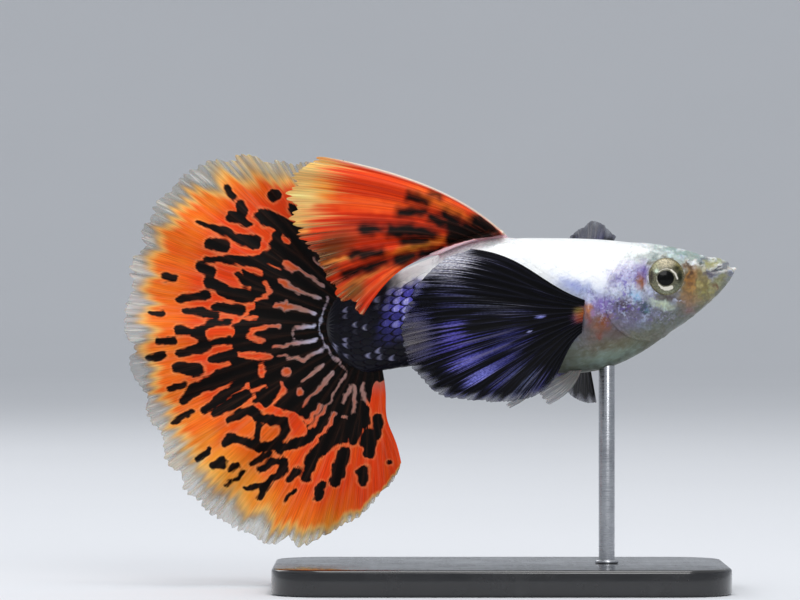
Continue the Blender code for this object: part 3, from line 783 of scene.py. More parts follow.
def read(items: bpy.types.bpy_prop_collection, name: str, width: int, kind: type) -> Array:
    """Reads one property of all of a mesh's vertices, edges or corners.

    Args:
        items: What to read.
        name: The property.
        width: How many numbers each has.
        kind: Their type.

    Returns:
        The numbers, one row each.
    """
    flat = np.empty(width * len(items), kind)
    items.foreach_get(name, flat)
    return flat.reshape(-1, width)


def coordinates(mesh: bpy.types.Mesh) -> Array:
    """Returns a mesh's vertex places, one row each."""
    return read(mesh.vertices, "co", 3, float)


def put_coordinates(mesh: bpy.types.Mesh, places: Array) -> None:
    """Moves a mesh's vertices to places given in millimetres."""
    mesh.vertices.foreach_set("co", (places * MM).ravel())
    mesh.update()


def put_values(mesh: bpy.types.Mesh, name: str, values: Array) -> None:
    """Keeps a number at each vertex under a name."""
    made = mesh.attributes.new(name, "FLOAT", "POINT")
    made.data.foreach_set("value", np.asarray(values, np.float32))


def put_colours(mesh: bpy.types.Mesh, name: str, colours: Array) -> None:
    """Keeps a colour at each vertex under a name.

    Args:
        mesh: The mesh.
        name: The name.
        colours: One row a vertex.
    """
    made = mesh.color_attributes.new(name, "FLOAT_COLOR", "POINT")
    whole = np.concatenate((colours, np.ones((len(colours), 1))), axis=1)
    made.data.foreach_set("color", whole.astype(np.float32).ravel())


def apply_modifier(obj: bpy.types.Object, kind: str, **settings: object) -> None:
    """Gives an object a modifier and applies it.

    Args:
        obj: The object.
        kind: The modifier's type.
        **settings: The modifier's own settings.
    """
    bpy.context.view_layer.objects.active = obj
    modifier = obj.modifiers.new(kind.title(), kind)
    for name, value in settings.items():
        setattr(modifier, name, value)
    bpy.ops.object.modifier_apply(modifier=modifier.name)


def finish_piece(
    obj: bpy.types.Object, finish: bpy.types.Material, nodes: tuple[str, ...]
) -> None:
    """Dresses a finished piece and ties it to the frame.

    Args:
        obj: The piece.
        finish: Its material.
        nodes: The solids it stands for.
    """
    obj.data.materials.clear()
    obj.data.materials.append(finish)
    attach(obj, "root")
    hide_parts(*nodes)
    obj.data.calc_loop_triangles()
    log.info("%s: %d triangles", obj.name, len(obj.data.loop_triangles))


@dataclass(frozen=True)
class Marks:
    """The fish's colours on its skin and scales, the same on both flanks.

    Each band is a colour and the shares of the way up from the belly where it starts and is full. Specks
    are violet and silver, blotch is how strongly the belly is mottled in red, green and blue, and shade
    how dark every colour but white is laid.
    """

    bands: tuple[tuple[Colour, float, float], ...] = (
        (paint(126, 128, 148), 0.16, 0.36), (paint(204, 212, 236), 0.36, 0.56),
        (paint(250, 252, 252), 0.52, 0.7),
    )
    belly: Colour = paint(116, 122, 110)
    stalk: Colour = paint(96, 92, 214)
    stalk_low: Colour = paint(14, 14, 26)
    patches: tuple[Patch, ...] = ovals(
        (12.6, 24.75, 2.6, 0.6, (186, 198, 190), -6), (13.6, 25.25, 2.3, 0.36, (160, 186, 178), -14),
        (12.7, 25.15, 0.3, 0.14, (214, 232, 230), -10, 0.9),
        (11.5, 25.0, 0.35, 0.14, (110, 132, 128), -20, 0.7),
        (13.5, 24.95, 0.32, 0.12, (206, 222, 226), -20, 0.9),
        (15.35, 24.75, 0.5, 0.3, (122, 130, 138), -10, 0.9),
        (9.7, 23.6, 1.7, 0.8, (176, 166, 224), 12, 0.75), (10.5, 23.75, 0.5, 0.75, (112, 88, 176), 0, 0.85),
        (8.6, 23.15, 0.45, 0.3, (140, 124, 204), 30, 0.7),
        (5.6, 22.75, 1.5, 0.5, (168, 182, 240), -20, 0.85),
        (9.2, 20.6, 1.9, 0.9, (112, 104, 130), -15, 0.95),
        (9.2, 22.45, 0.75, 0.42, (220, 228, 248), -25, 0.95),
        (7.5, 21.4, 1.0, 0.62, (146, 122, 200), 0, 0.95), (7.0, 21.7, 0.25, 0.2, (204, 196, 240), 0, 0.9),
        (7.9, 20.95, 0.25, 0.16, (196, 190, 236), 30, 0.8), (9.3, 21.4, 0.85, 0.5, (72, 52, 80), -8, 0.95),
        (10.1, 22.05, 0.55, 0.3, (158, 206, 244), -35), (10.75, 21.2, 0.55, 0.42, (48, 74, 98), -40, 0.95),
        (11.05, 21.0, 0.16, 0.2, (86, 146, 150), 0, 0.85),
        # The pale blue oval at X 10.6, Z 20.25 is a painted glint.
        (10.6, 20.25, 0.32, 0.16, (176, 190, 220), 50, 0.9),
        (9.3, 20.2, 0.5, 0.14, (150, 150, 186), 40, 0.75), (6.9, 19.3, 0.9, 1.2, (108, 90, 78), 0, 0.85),
        (9.4, 18.6, 2.6, 0.6, (120, 108, 84), 12, 0.7), (7.55, 20.0, 0.68, 0.75, (150, 84, 42), 8, 0.95),
        (7.0, 20.7, 0.2, 0.16, (170, 130, 180), 0, 0.9), (7.3, 19.1, 0.3, 0.2, (136, 70, 50), 0, 0.7),
        (8.6, 19.4, 0.8, 0.5, (104, 84, 74), 0, 0.75), (6.45, 20.95, 0.4, 0.5, (196, 118, 50), 0, 0.97),
        (6.55, 20.3, 0.26, 0.4, (140, 50, 30), 0, 0.9), (10.5, 22.95, 0.27, 0.58, (158, 86, 26), 8, 0.97),
        (10.75, 22.45, 0.16, 0.2, (70, 42, 32), 0, 0.8), (15.0, 23.75, 0.55, 0.5, (134, 116, 66), 0, 0.97),
        (14.6, 22.5, 1.2, 1.35, (136, 124, 74), 0, 0.97), (13.9, 23.2, 0.5, 1.35, (142, 118, 52), -8, 0.97),
        (14.25, 23.35, 0.5, 1.0, (176, 116, 36), -8, 0.97),
        (14.05, 24.25, 0.4, 0.16, (92, 62, 34), -16, 0.9), (14.2, 23.75, 0.18, 0.3, (84, 50, 26), 20, 0.85),
        (14.6, 23.3, 0.14, 0.2, (98, 60, 28), 0, 0.8), (14.15, 22.95, 0.12, 0.2, (104, 62, 26), 0, 0.75),
        (14.35, 22.55, 0.2, 0.18, (206, 150, 66), 0, 0.8), (13.95, 22.3, 0.2, 0.16, (96, 66, 40), 20, 0.8),
        (14.05, 21.8, 0.75, 0.5, (160, 118, 72), 20, 0.9),
        (15.35, 22.75, 0.75, 0.95, (140, 124, 62), 30, 0.95),
        (16.4, 23.25, 0.95, 0.4, (146, 144, 96), 48, 0.95),
        (14.9, 23.0, 0.2, 0.16, (196, 180, 110), 30, 0.8),
        (15.6, 23.1, 0.22, 0.14, (190, 182, 116), 40, 0.8),
        (15.9, 22.4, 0.2, 0.16, (178, 172, 108), 40, 0.8), (14.7, 21.9, 0.3, 0.2, (164, 132, 88), 40, 0.8),
        (15.1, 22.2, 0.3, 0.3, (166, 160, 88), 40, 0.8), (15.7, 24.4, 0.7, 0.28, (166, 162, 98), 14, 0.97),
        (16.5, 24.7, 0.45, 0.2, (186, 190, 140), -10, 0.9),
        # At the mouth, the dark oval at X 15.8 in the corner and the dark strip at X 16.1 along the slit are
        # painted shade; the pale ovals at X 15.5 and X 16.95 along the lower lip are painted highlights.
        (16.9, 24.5, 0.3, 0.26, (112, 116, 134), -30, 0.9), (15.8, 23.72, 0.5, 0.17, (62, 54, 84), 10),
        (15.5, 23.95, 0.28, 0.08, (196, 200, 214), 10, 0.9), (16.1, 24.04, 0.9, 0.09, (70, 66, 80), 14, 0.9),
        (16.95, 23.97, 0.85, 0.09, (214, 210, 200), 14, 0.95),
        (17.45, 24.1, 0.22, 0.12, (190, 190, 160), 0, 0.8),
        (16.1, 22.75, 0.18, 0.22, (130, 76, 46), 30, 0.8), (12.4, 21.9, 1.0, 0.2, (64, 40, 34), -3, 0.98),
        (12.05, 21.42, 0.85, 0.34, (212, 228, 196), -12, 0.97),
        (13.25, 21.7, 0.45, 0.12, (204, 206, 224), -10, 0.95),
        (14.1, 21.0, 0.5, 0.4, (146, 104, 106), 30, 0.85), (12.6, 20.4, 1.5, 0.42, (104, 108, 102), 30, 0.9),
        (10.75, 19.8, 0.5, 0.3, (124, 136, 156), 0, 0.75), (10.6, 18.9, 1.7, 0.7, (112, 116, 98), 30, 0.75),
        (8.2, 17.5, 2.3, 0.5, (148, 166, 152), 14, 0.85),
        # The white oval at X 14.4 on the snout is a painted highlight.
        (14.4, 24.58, 0.46, 0.22, (250, 252, 255), -24, 0.95), (-4.9, 24.75, 3.0, 0.75, (254, 254, 255), 16),
    )
    specks: tuple[Patch, ...] = (
        Patch(9.8, 23.4, 1.5, 1.1), Patch(9.0, 21.4, 2.4, 1.2),
        Patch(12.0, 20.5, 1.4, 0.6, strength=0.4), Patch(15.3, 22.4, 1.0, 1.2, tilt=40, strength=0.06),
        Patch(6.0, 22.6, 1.4, 0.6, tilt=-20, strength=0.5),
        Patch(13.4, 25.1, 2.2, 0.4, tilt=-14, strength=0.35),
    )
    bare_spot: Patch = Patch(10.5, 22.9, 0.36, 0.75, tilt=8)
    lid: Colour = paint(112, 104, 82)
    blotch: Colour = (0.1, 0.13, 0.19)
    wobble: float = 0.13
    shade: float = 0.8

    def rise(self, x: Array, z: Array) -> Array:
        """Returns each place's share of the way from belly to back."""
        top, bottom, _, _ = BODY.section(x)
        return (z - bottom) / np.maximum(top - bottom, 0.3)

    def colour(self, x: Array, z: Array, seed: int = 3) -> Array:
        """Reads the skin's colour.

        Args:
            x: Places along the body.
            z: Their heights.
            seed: Fixes the wobble of the marks' edges.

        Returns:
            Colours, one row a place.
        """
        x = x + self.wobble * (Ripple(seed, 1.1).at(x, z) + 0.6 * Ripple(seed + 2, 0.4).at(x, z))
        z = z + self.wobble * (Ripple(seed + 1, 1.1).at(x, z) + 0.6 * Ripple(seed + 3, 0.4).at(x, z))
        rise = self.rise(x, z)
        tone = np.full((len(x), 3), self.belly)
        for colour, low, high in self.bands:
            tone = tinge(tone, colour, ease((rise - low) / (high - low)))
        to_stalk = ease((2.5 - x) / 6.0) * ease((0.87 - rise) / 0.12)
        blue = tinge(np.array(self.stalk_low), self.stalk, ease((rise - 0.22) / 0.4))
        tone = mix(tone, blue, to_stalk[:, None])
        tone = tinge(tone, self.stalk_low, ease((-7.9 - x + 0.3 * (z - BODY.stalk_z)) / 1.6))
        lid = 0.75 * bell(ORBIT.away(x, z) - 1.06, 0.075)
        painted = tinge(lay_patches(tone, self.patches, x, z), self.lid, lid)
        white = ease((painted.min(axis=1) - 0.55) / 0.3)[:, None]
        blotch = Ripple(seed + 6, 0.7).at(x, z) + 0.7 * Ripple(seed + 7, 0.28).at(x, z)
        low = ease((0.52 - rise) / 0.24)[:, None] * (1 - to_stalk[:, None])
        painted = painted * np.exp(low * np.clip(blotch, -1.6, 1.6)[:, None] * np.array(self.blotch))
        # Painted shade: the lowest part of the belly is laid up to 30% darker.
        keel_shade = ease((0.15 - rise) / 0.13)[:, None]
        return painted * mix(self.shade, 1.0, white) * (1 - 0.3 * low * keel_shade)

    def net(self, x: Array, z: Array) -> Array:
        """Returns how dark the net between the scales is, from near none in front to full on the stalk."""
        return np.clip(ease((2.0 - x) / 7.0) * ease((0.9 - self.rise(x, z)) / 0.14) + 0.04, 0, 1)

    def speckle(self, x: Array, z: Array) -> Array:
        """Returns how thickly violet and silver specks lie on the skin."""
        laid = sum(patch.cover(x, z) for patch in self.specks)
        return np.clip(laid, 0, 1) * (1 - self.bare_spot.cover(x, z))


MARKS = Marks()


@dataclass
class Skin:
    """One skin over head, trunk and tail stalk, with gill covers, orbits, lips and nostrils."""

    around: int = 240
    head_rings: int = 205
    body_rings: int = 195
    coat_depth: float = 0.12
    flare: float = 0.05
    flare_length: float = 0.35
    tip_x: float = 17.6
    mouth_corner: Point = (15.35, 23.78)
    mouth_rise: float = 0.241
    nostrils: tuple[tuple[float, float, float], ...] = ((14.15, 24.5, 0.13), (15.0, 24.45, 0.09))
    cheek_grooves: tuple[Stroke, ...] = (
        (0.0, 11.15, 24.7, 10.75, 23.8, 10.65, 22.8, 10.9, 21.8, 11.6, 20.9, 12.6, 20.5, 13.6, 20.9),
        (0.0, 14.9, 22.0, 14.2, 21.6, 13.4, 20.9, 12.6, 20.2),
        (0.0, 8.5, 20.1, 9.6, 19.1, 10.8, 18.75, 12.0, 19.3),
    )
    gill_rays: tuple[Stroke, ...] = (
        (0.0, 8.9, 19.3, 10.2, 18.5, 11.6, 18.7), (0.0, 9.5, 18.6, 10.6, 18.1, 11.8, 18.5),
    )

    def shares(self) -> tuple[Array, Array]:
        """Spaces the rings, closer together at the snout and the gill edge.

        Returns:
            Each head ring's share of the way to the gill edge, and each body ring's beyond it.
        """
        steps = np.minimum(1.0, 0.08 + np.arange(self.head_rings) / 22.0)
        to_gill = np.arange(self.head_rings)[::-1]
        steps *= np.minimum(1.0, 0.3 + to_gill / 14.0)
        head = np.concatenate(([0.0], np.cumsum(steps) / steps.sum()))
        steps = np.minimum(1.0, 0.2 + np.arange(self.body_rings - 1) / 14.0)
        body = np.cumsum(steps) / steps.sum()
        return head, np.concatenate(([0.0], body))

    def lay_out(self, ring: Array, angle: Array) -> tuple[Array, Array]:
        """Places the plain skin.

        Args:
            ring: Each vertex's ring, from 0 at the snout.
            angle: Its angle round the body.

        Returns:
            The points, and how far each lies ahead of the gill cover's edge.
        """
        head, body = self.shares()
        gill = BODY.gill_x(angle)
        on_head = ring <= self.head_rings
        front = mix(BODY.snout_x, gill, head[np.minimum(ring, self.head_rings)])
        end = BODY.stalk_x - BODY.stalk_radius + 0.02
        behind = np.clip(ring - self.head_rings - 1, 0, self.body_rings - 1)
        rear = mix(gill, end, body[behind])
        first = ring == self.head_rings + 1
        x = np.where(on_head, front, np.where(first, gill + 0.06, rear))
        ahead = x - gill
        flare = self.flare * bell(ahead, self.flare_length) * np.sqrt(np.abs(np.cos(angle)))
        under = self.coat_depth * mix(1.25, 1.0, ease(-ahead / 0.5))
        rounding = np.clip((x - self.tip_x) / (BODY.snout_x - self.tip_x), 0, 1)
        nape = bell(ahead, 0.8) * ease((np.sin(angle) - 0.35) / 0.4)
        grow = np.where(on_head, flare - 0.02 - 0.055 * bell(ahead, 0.9) - 0.03 * nape, -under)
        points = BODY.point(np.minimum(x, BODY.snout_x), angle, grow, np.sqrt(1 - rounding**2))
        return points, np.where(on_head, ahead, -1.0)

    def normals(self, points: Array) -> Array:
        """Finds the outward directions.

        Args:
            points: Places, in rings of places round the body.

        Returns:
            The direction at each place.
        """
        along = np.gradient(points, axis=0)
        round_body = np.roll(points, -1, axis=1) - np.roll(points, 1, axis=1)
        out = np.cross(round_body, along)
        return -out / np.maximum(np.linalg.norm(out, axis=2, keepdims=True), 1e-9)

    def sink_orbits(self, points: Array) -> Array:
        """Sinks a socket for each eye and raises its rim.

        Args:
            points: The plain skin's points.

        Returns:
            The points with the sockets in them.
        """
        x, y, z = points.T
        away = ORBIT.away(x, z)
        side = np.abs(y)
        seat = ORBIT.y - 0.15 - 2.2 * np.clip(1 - away, 0, 0.4)
        rim = side + 0.02 * bell(away - 1.1, 0.08) - 0.012 * bell(away - 1.24, 0.06)
        sunk = mix(np.minimum(seat, side), rim, ease((away - 0.9) / 0.09))
        near = (away < 1.7) & (side > 0.5)
        moved = points.copy()
        moved[:, 1] = np.where(near, np.sign(y) * sunk, y)
        return moved

    def relief(self, x: Array, y: Array, z: Array, ahead: Array) -> Array:
        """Raises the lips, mouth, nostrils, gill plates and fin roots.

        Args:
            x: Places along the body.
            y: Places across it.
            z: Their heights.
            ahead: How far each lies ahead of the gill cover's edge.

        Returns:
            How far each place stands out of the plain skin.
        """
        cx, cz = self.mouth_corner
        line = (z - cz - self.mouth_rise * (x - cx)) / math.hypot(1, self.mouth_rise)
        opening = ease((x - cx - 0.15) / 0.7) * mix(1.0, 0.45, ease((x - 16.3) / 0.5))
        rise = -0.18 * bell(line, 0.085) * opening
        rise += 0.11 * bell(line - 0.27, 0.17) * ease((x - cx - 0.1) / 0.9) * ease((17.3 - x) / 0.3)
        rise += 0.07 * bell(line + 0.2, 0.13) * ease((x - cx) / 1.2)
        rise -= 0.05 * bell(line + 0.42, 0.09) * ease((x - cx - 0.2) / 0.6)
        rise -= 0.05 * bell(np.hypot((x - 15.05) / 0.5, (z - 24.05) / 1.6), 0.35)
        for nx, nz, radius in self.nostrils:
            away = np.hypot(x - nx, z - nz)
            rise += 0.05 * bell(away - 1.7 * radius, 0.6 * radius) - 0.2 * bell(away, radius)
        cheek = stroke_gap(self.cheek_grooves, x, z)
        rise -= 0.05 * bell(cheek, 0.09) * ease((ahead - 0.1) / 0.3)
        rise -= 0.035 * bell(stroke_gap(self.gill_rays, x, z), 0.08) * ease((ahead - 0.1) / 0.3)
        rise += 0.06 * bell(np.hypot(x - 12.2, z - 21.2), 0.7)
        pad = np.hypot((x - 6.5) / 0.62, (z - 20.5) / 1.45)
        rise += 0.42 * bell(pad, 0.8) * (np.abs(y) > 1.0)
        dorsal = ease((x + 5.2) / 1.2) * ease((1.4 - x) / 1.2)
        rise += 0.12 * dorsal * bell(y - BODY.spine(x), 0.5) * (z > 22)
        rise += 0.012 * Ripple(11, 0.7).at(x, y, z) * ease(ahead + 1.0)
        return rise

    def build(self) -> None:
        """Makes the skin."""
        rings = self.head_rings + self.body_rings + 1
        deselect()
        bpy.ops.mesh.primitive_uv_sphere_add(segments=self.around, ring_count=rings, radius=1.0)
        obj = bpy.context.object
        obj.name = "guppy_skin"
        x, y, z = coordinates(obj.data).T
        ring = np.rint(np.arctan2(np.hypot(x, y), z) / math.pi * rings).astype(int)
        turn = np.rint(np.arctan2(y, x) / FULL_TURN * self.around).astype(int) % self.around
        points, ahead = self.lay_out(ring, turn * FULL_TURN / self.around)
        points = self.sink_orbits(points)
        spot = ring * self.around + turn
        table = np.zeros(((rings + 1) * self.around, 3))
        table[spot] = points
        table[:self.around] = points[ring == 0]
        table[-self.around:] = points[ring == rings]
        out = self.normals(table.reshape(rings + 1, self.around, 3)).reshape(-1, 3)[spot]
        out[ring == 0] = (1, 0, 0)
        out[ring == rings] = (-1, 0, 0)
        points = points + out * self.relief(*points.T, ahead)[:, None]
        put_coordinates(obj.data, points)
        x, _, z = points.T
        put_colours(obj.data, "tint", MARKS.colour(x, z))
        put_values(obj.data, "speckle", MARKS.speckle(x, z))
        bpy.ops.object.shade_smooth()
        finish_piece(obj, SkinFinish().make(), ("head", "trunk", "tail_stalk"))


@dataclass
class ScaleCoat:
    """Overlapping scales from the gill covers to the tail fin, each a thin raised plate."""

    rows: int = 27
    around: int = 30
    overlap: float = 1.6
    plate_width: float = 0.56
    thickness: float = 0.032
    root_depth: float = 0.03
    tip_rise: float = 0.036
    uneven: float = 0.012
    smooth_share: float = 0.12
    end_gap: float = 0.5
    pale_net: float = 0.3
    gleam: Colour = paint(206, 206, 255)
    patch_size: float = 0.003
    seed: int = 5

    def plate(self) -> tuple[Array, Array]:
        """Models one scale.

        Returns:
            Its places (across from -1 to 1, along from root 0 to tip 1, height from 0 to 1) and its faces.
        """
        deselect()
        bpy.ops.mesh.primitive_grid_add(x_subdivisions=7, y_subdivisions=6, size=1.0)
        obj = bpy.context.object
        bpy.ops.object.mode_set(mode="EDIT")
        bpy.ops.mesh.select_all(action="SELECT")
        bpy.ops.transform.translate(value=(0.0, 0.5, 0.0))
        bpy.ops.object.mode_set(mode="OBJECT")
        apply_modifier(obj, "SOLIDIFY", thickness=1.0, offset=-1.0)
        places = coordinates(obj.data)
        places[:, 0] *= 2
        places[:, 2] += 1
        faces = np.array([tuple(face.vertices) for face in obj.data.polygons])
        bpy.data.objects.remove(obj)
        return places, faces

    def angles(self) -> Array:
        """Spaces the scales evenly round the trunk.

        Returns:
            Their angles round the body.
        """
        fine = np.linspace(0, FULL_TURN, 721)
        ring = BODY.point(np.full_like(fine, 0.5), fine)
        length = np.concatenate(([0.0], np.cumsum(np.linalg.norm(np.diff(ring, axis=0), axis=1))))
        return np.interp(np.arange(2 * self.around) / (2 * self.around) * length[-1], length, fine)

    def roots(self) -> tuple[Array, Array, Array]:
        """Sets out the scales' roots, each row half a step on from the last.

        Returns:
            Each scale's place between gill and tail, its angle and its half step of angle.
        """
        steps = self.angles()
        place, angle, half = [], [], []
        for row in range(self.rows):
            for k in range(self.around):
                i = (2 * k + row % 2) % len(steps)
                after = steps[(i + 1) % len(steps)] + (FULL_TURN if i + 1 == len(steps) else 0)
                place.append(row / self.rows)
                angle.append(steps[i])
                half.append(after - steps[i])
        return np.array(place), np.array(angle), np.array(half)

    def bare(self, x: Array, y: Array, z: Array) -> Array:
        """Finds the places left bare for the roots of the fins.

        Args:
            x: Places along the body.
            y: Places across it.
            z: Their heights.

        Returns:
            True where no scale lies.
        """
        pad = np.hypot((x - 6.3) / 0.75, (z - 20.5) / 1.5) < 1
        dorsal = (x > -5.2) & (x < 1.0) & (z > BODY.back.at(x) - 0.5)
        return (pad & (np.abs(y) > 1)) | dorsal

    def sharpen(self, mesh: bpy.types.Mesh, plate: Array, net: Array) -> None:
        """Marks the rims of the pale scales as sharp edges, so that they stay crisp.

        Args:
            mesh: The coat.
            plate: One scale's places.
            net: How dark the net is at each scale.
        """
        across, along, height = plate.T
        border = (height > 0.5) & ((np.abs(across) > 0.99) | (np.abs(along - 0.5) > 0.49))
        ends = read(mesh.edges, "vertices", 2, np.int32)
        crisp = border[ends % len(plate)].all(axis=1) & (net[ends[:, 0] // len(plate)] < self.pale_net)
        mesh.attributes.new("sharp_edge", "BOOLEAN", "EDGE").data.foreach_set("value", crisp)

    def lay_maps(self, mesh: bpy.types.Mesh, plate: Array, share: Array, angle: Array) -> None:
        """Gives each scale the whole of one map, and its own small patch of the map for baking.

        Args:
            mesh: The coat.
            plate: One scale's places.
            share: Each scale's place between gill and tail.
            angle: Its angle round the body.
        """
        corner = read(mesh.loops, "vertex_index", 1, np.int32)[:, 0]
        across, along, _ = plate[corner % len(plate)].T
        which = corner // len(plate)
        u = 0.02 + 0.96 * share[which] + self.patch_size * (along - 0.5)
        v = 0.02 + 0.96 * angle[which] / FULL_TURN + self.patch_size * 0.5 * across
        for name, sides in (("plate", (0.5 * across, along)), ("OFBake", (u, v))):
            made = mesh.uv_layers.new(name=name)
            made.data.foreach_set("uv", np.stack(sides, 1).ravel().astype(np.float32))
        mesh.uv_layers.active = mesh.uv_layers["plate"]
        mesh.uv_layers["plate"].active_render = True

    def build(self) -> None:
        """Makes the coat."""
        plate, faces = self.plate()
        share, angle, half = self.roots()
        draw = np.random.default_rng(self.seed)
        end = BODY.stalk_x - BODY.stalk_radius + self.end_gap
        gill = BODY.gill_x(angle)
        root_x = mix(gill - 0.02, end, share)
        pitch = (gill - end) / self.rows
        middle = BODY.point(root_x - 0.7 * pitch, angle)
        keep = ~self.bare(*middle.T)
        count = int(keep.sum())
        across, along, height = plate.T
        tip_back = 0.34 * np.abs(across) ** 2.2 * along
        own_pitch = pitch[keep][:, None]
        down = (along - tip_back)[None] * (self.overlap * own_pitch)
        jitter = draw.uniform(-0.04, 0.04, count)[:, None]
        x = root_x[keep][:, None] + 0.25 * own_pitch - down + jitter * own_pitch
        spread = across * (1 - 0.12 * along**3)
        turn = angle[keep][:, None] + 2 * half[keep][:, None] * self.plate_width * spread[None]
        own_rise = draw.uniform(-self.uneven, self.uneven, count)[:, None]
        lift = -self.root_depth + (self.tip_rise + self.root_depth + own_rise) * along
        lift = lift - 0.02 * across**2 + self.thickness * height * (1 - 0.5 * along**4)
        centre = middle[keep]
        coarse = MARKS.net(centre[:, 0], centre[:, 2])
        small = np.clip((x - end + 0.6) / 2.5, 0.3, 1.0) * mix(self.smooth_share, 1.0, coarse)[:, None]
        points = BODY.point(np.maximum(x, end - 0.4), turn, -Skin.coat_depth + lift * small)
        sizes = points.reshape(-1, 3)
        mesh = bpy.data.meshes.new("guppy_scales")
        shift = (np.arange(count) * len(plate))[:, None, None]
        mesh.from_pydata((sizes * MM).tolist(), [], (faces[None] + shift).reshape(-1, 4).tolist())
        obj = bpy.data.objects.new("guppy_scales", mesh)
        bpy.context.scene.collection.objects.link(obj)
        self.sharpen(mesh, plate, coarse)
        net = np.repeat(coarse, len(plate))
        own_tone = draw.uniform(0.0, 1.0, count).repeat(len(plate))
        x, _, z = sizes.T
        tone = MARKS.colour(x, z) * (1 + mix(0.02, 0.5, net) * (2 * own_tone - 1))[:, None]
        # Painted highlights: some stalk scales get a crescent near the tip, and round X -6.9 bright spots on
        # their middles, mixed towards the gleam colour.
        crescent = np.tile(bell(along - 0.7, 0.1) * (1 - 0.6 * across**2), count)
        lit = bell(x + 6.9, 1.5) * ease((z - 18.6) / 2.0)
        faint_glint = 0.4 * crescent * ease((own_tone - 0.72) / 0.2)
        bright_glint = np.tile(bell(along - 0.6, 0.16) * (1 - across**2), count) * ease((own_tone - 0.35) / 0.4)
        put_colours(mesh, "tint", tinge(tone, self.gleam, net * np.maximum(faint_glint, 0.9 * lit * bright_glint)))
        put_values(mesh, "net", net)
        put_values(mesh, "speckle", MARKS.speckle(x, z))
        rim = np.maximum(np.abs(across) ** 2.5, ease((along - 0.5) / 0.5) ** 1.3)
        put_values(mesh, "rim", np.tile(rim, count))
        self.lay_maps(mesh, plate, share[keep], angle[keep])
        mesh.polygons.foreach_set("use_smooth", np.ones(len(mesh.polygons), bool))
        mesh.update()
        finish_piece(obj, ScaleFinish().make(), ("trunk", "tail_stalk"))


class Side(Enum):
    """A flank of the fish, by the sign of its Y."""

    RIGHT = -1
    LEFT = 1


@dataclass
class Eye:
    """An eyeball in its socket, with a domed lens, painted iris and broken silver ring."""

    side: Side
    segments: int = 96
    rings: int = 72
    pupil: float = 0.55
    pupil_at: Point = (-0.06, -0.12)
    fullness: float = 2.5
    bulge: float = 0.28
    depth: float = 0.8
    sunk: float = 0.06
    oversize: float = 1.03
    ball: Colour = paint(98, 97, 82)
    rim: Colour = paint(112, 106, 82)
    iris: tuple[Patch, ...] = ovals(
        (-0.1, 1.05, 0.8, 0.36, (188, 180, 156)), (1.02, 0.85, 0.32, 0.42, (158, 150, 92)),
        (0.78, 0.6, 0.26, 0.2, (46, 46, 32)), (0.98, 0.0, 0.22, 0.5, (34, 38, 25)),
        (-1.12, 0.0, 0.14, 0.5, (64, 58, 54)), (-0.8, -0.7, 0.4, 0.4, (112, 112, 92)),
        (0.1, -1.15, 0.7, 0.3, (128, 132, 112)), (0.85, -0.85, 0.3, 0.3, (104, 110, 94)),
        (-0.9, 0.8, 0.32, 0.3, (172, 172, 142)), (-0.72, 0.4, 0.16, 0.14, (182, 200, 186)),
    )
    arcs: tuple[Stroke, ...] = (
        (0.05, -0.5, -0.48, -0.3, -0.66), (0.085, -0.3, -0.68, -0.05, -0.76),
        (0.13, -0.05, -0.76, 0.2, -0.75, 0.42, -0.66), (0.01, -0.5, -0.5, -0.64, -0.2, -0.68, 0.15),
        (0.02, -0.52, 0.44, -0.25, 0.62, 0.1, 0.68, 0.4, 0.6), (0.055, 0.4, 0.6, 0.7, 0.34, 0.86, -0.04),
    )

    def build(self) -> None:
        """Makes the eye."""
        deselect()
        bpy.ops.mesh.primitive_uv_sphere_add(segments=self.segments, ring_count=self.rings, radius=1.0)
        obj = bpy.context.object
        obj.name = f"guppy_eye_{self.side.name.lower()}"
        ball = coordinates(obj.data)
        out = ball[:, 2]
        away = np.hypot(ball[:, 0], ball[:, 1])
        power = 2 / self.fullness
        wide = np.where(out > 0, away**power, away)
        turn = np.arctan2(ball[:, 1], ball[:, 0])
        sign = self.side.value
        x, z = -sign * wide * np.cos(turn) * ORBIT.half_x, wide * np.sin(turn) * ORBIT.half_z
        lens_x, lens_z = x - self.pupil_at[0], z - self.pupil_at[1]
        spread = np.hypot(lens_x, lens_z)
        front = out > 0
        rise = np.where(front, self.bulge * np.abs(out) ** power, self.depth * out)
        lens = 0.03 * ease((self.pupil - spread) / 0.4) - 0.02 * bell(spread - self.pupil - 0.04, 0.05)
        rise = rise + front * lens
        place_x, place_z = ORBIT.x + self.oversize * x, ORBIT.z + self.oversize * z
        points = np.stack((place_x, sign * (BODY.flank(place_x, place_z) - self.sunk + rise), place_z), 1)
        put_coordinates(obj.data, points)
        put_values(obj.data, "pupil", np.hypot(0.9 * lens_x, lens_z) - self.pupil)
        put_values(obj.data, "ring", stroke_gap(self.arcs, lens_x, lens_z))
        tint = lay_patches(np.full((len(x), 3), self.ball), self.iris, x, z)
        rim = 0.7 * ease((np.hypot(x / ORBIT.half_x, z / ORBIT.half_z) - 0.86) / 0.1)
        put_colours(obj.data, "tint", tinge(tint, self.rim, rim))
        bpy.ops.object.shade_smooth()
        node = f"eye_{self.side.name.lower()}"
        finish_piece(obj, EyeFinish(name=f"{node}_glass").make(), (node,))


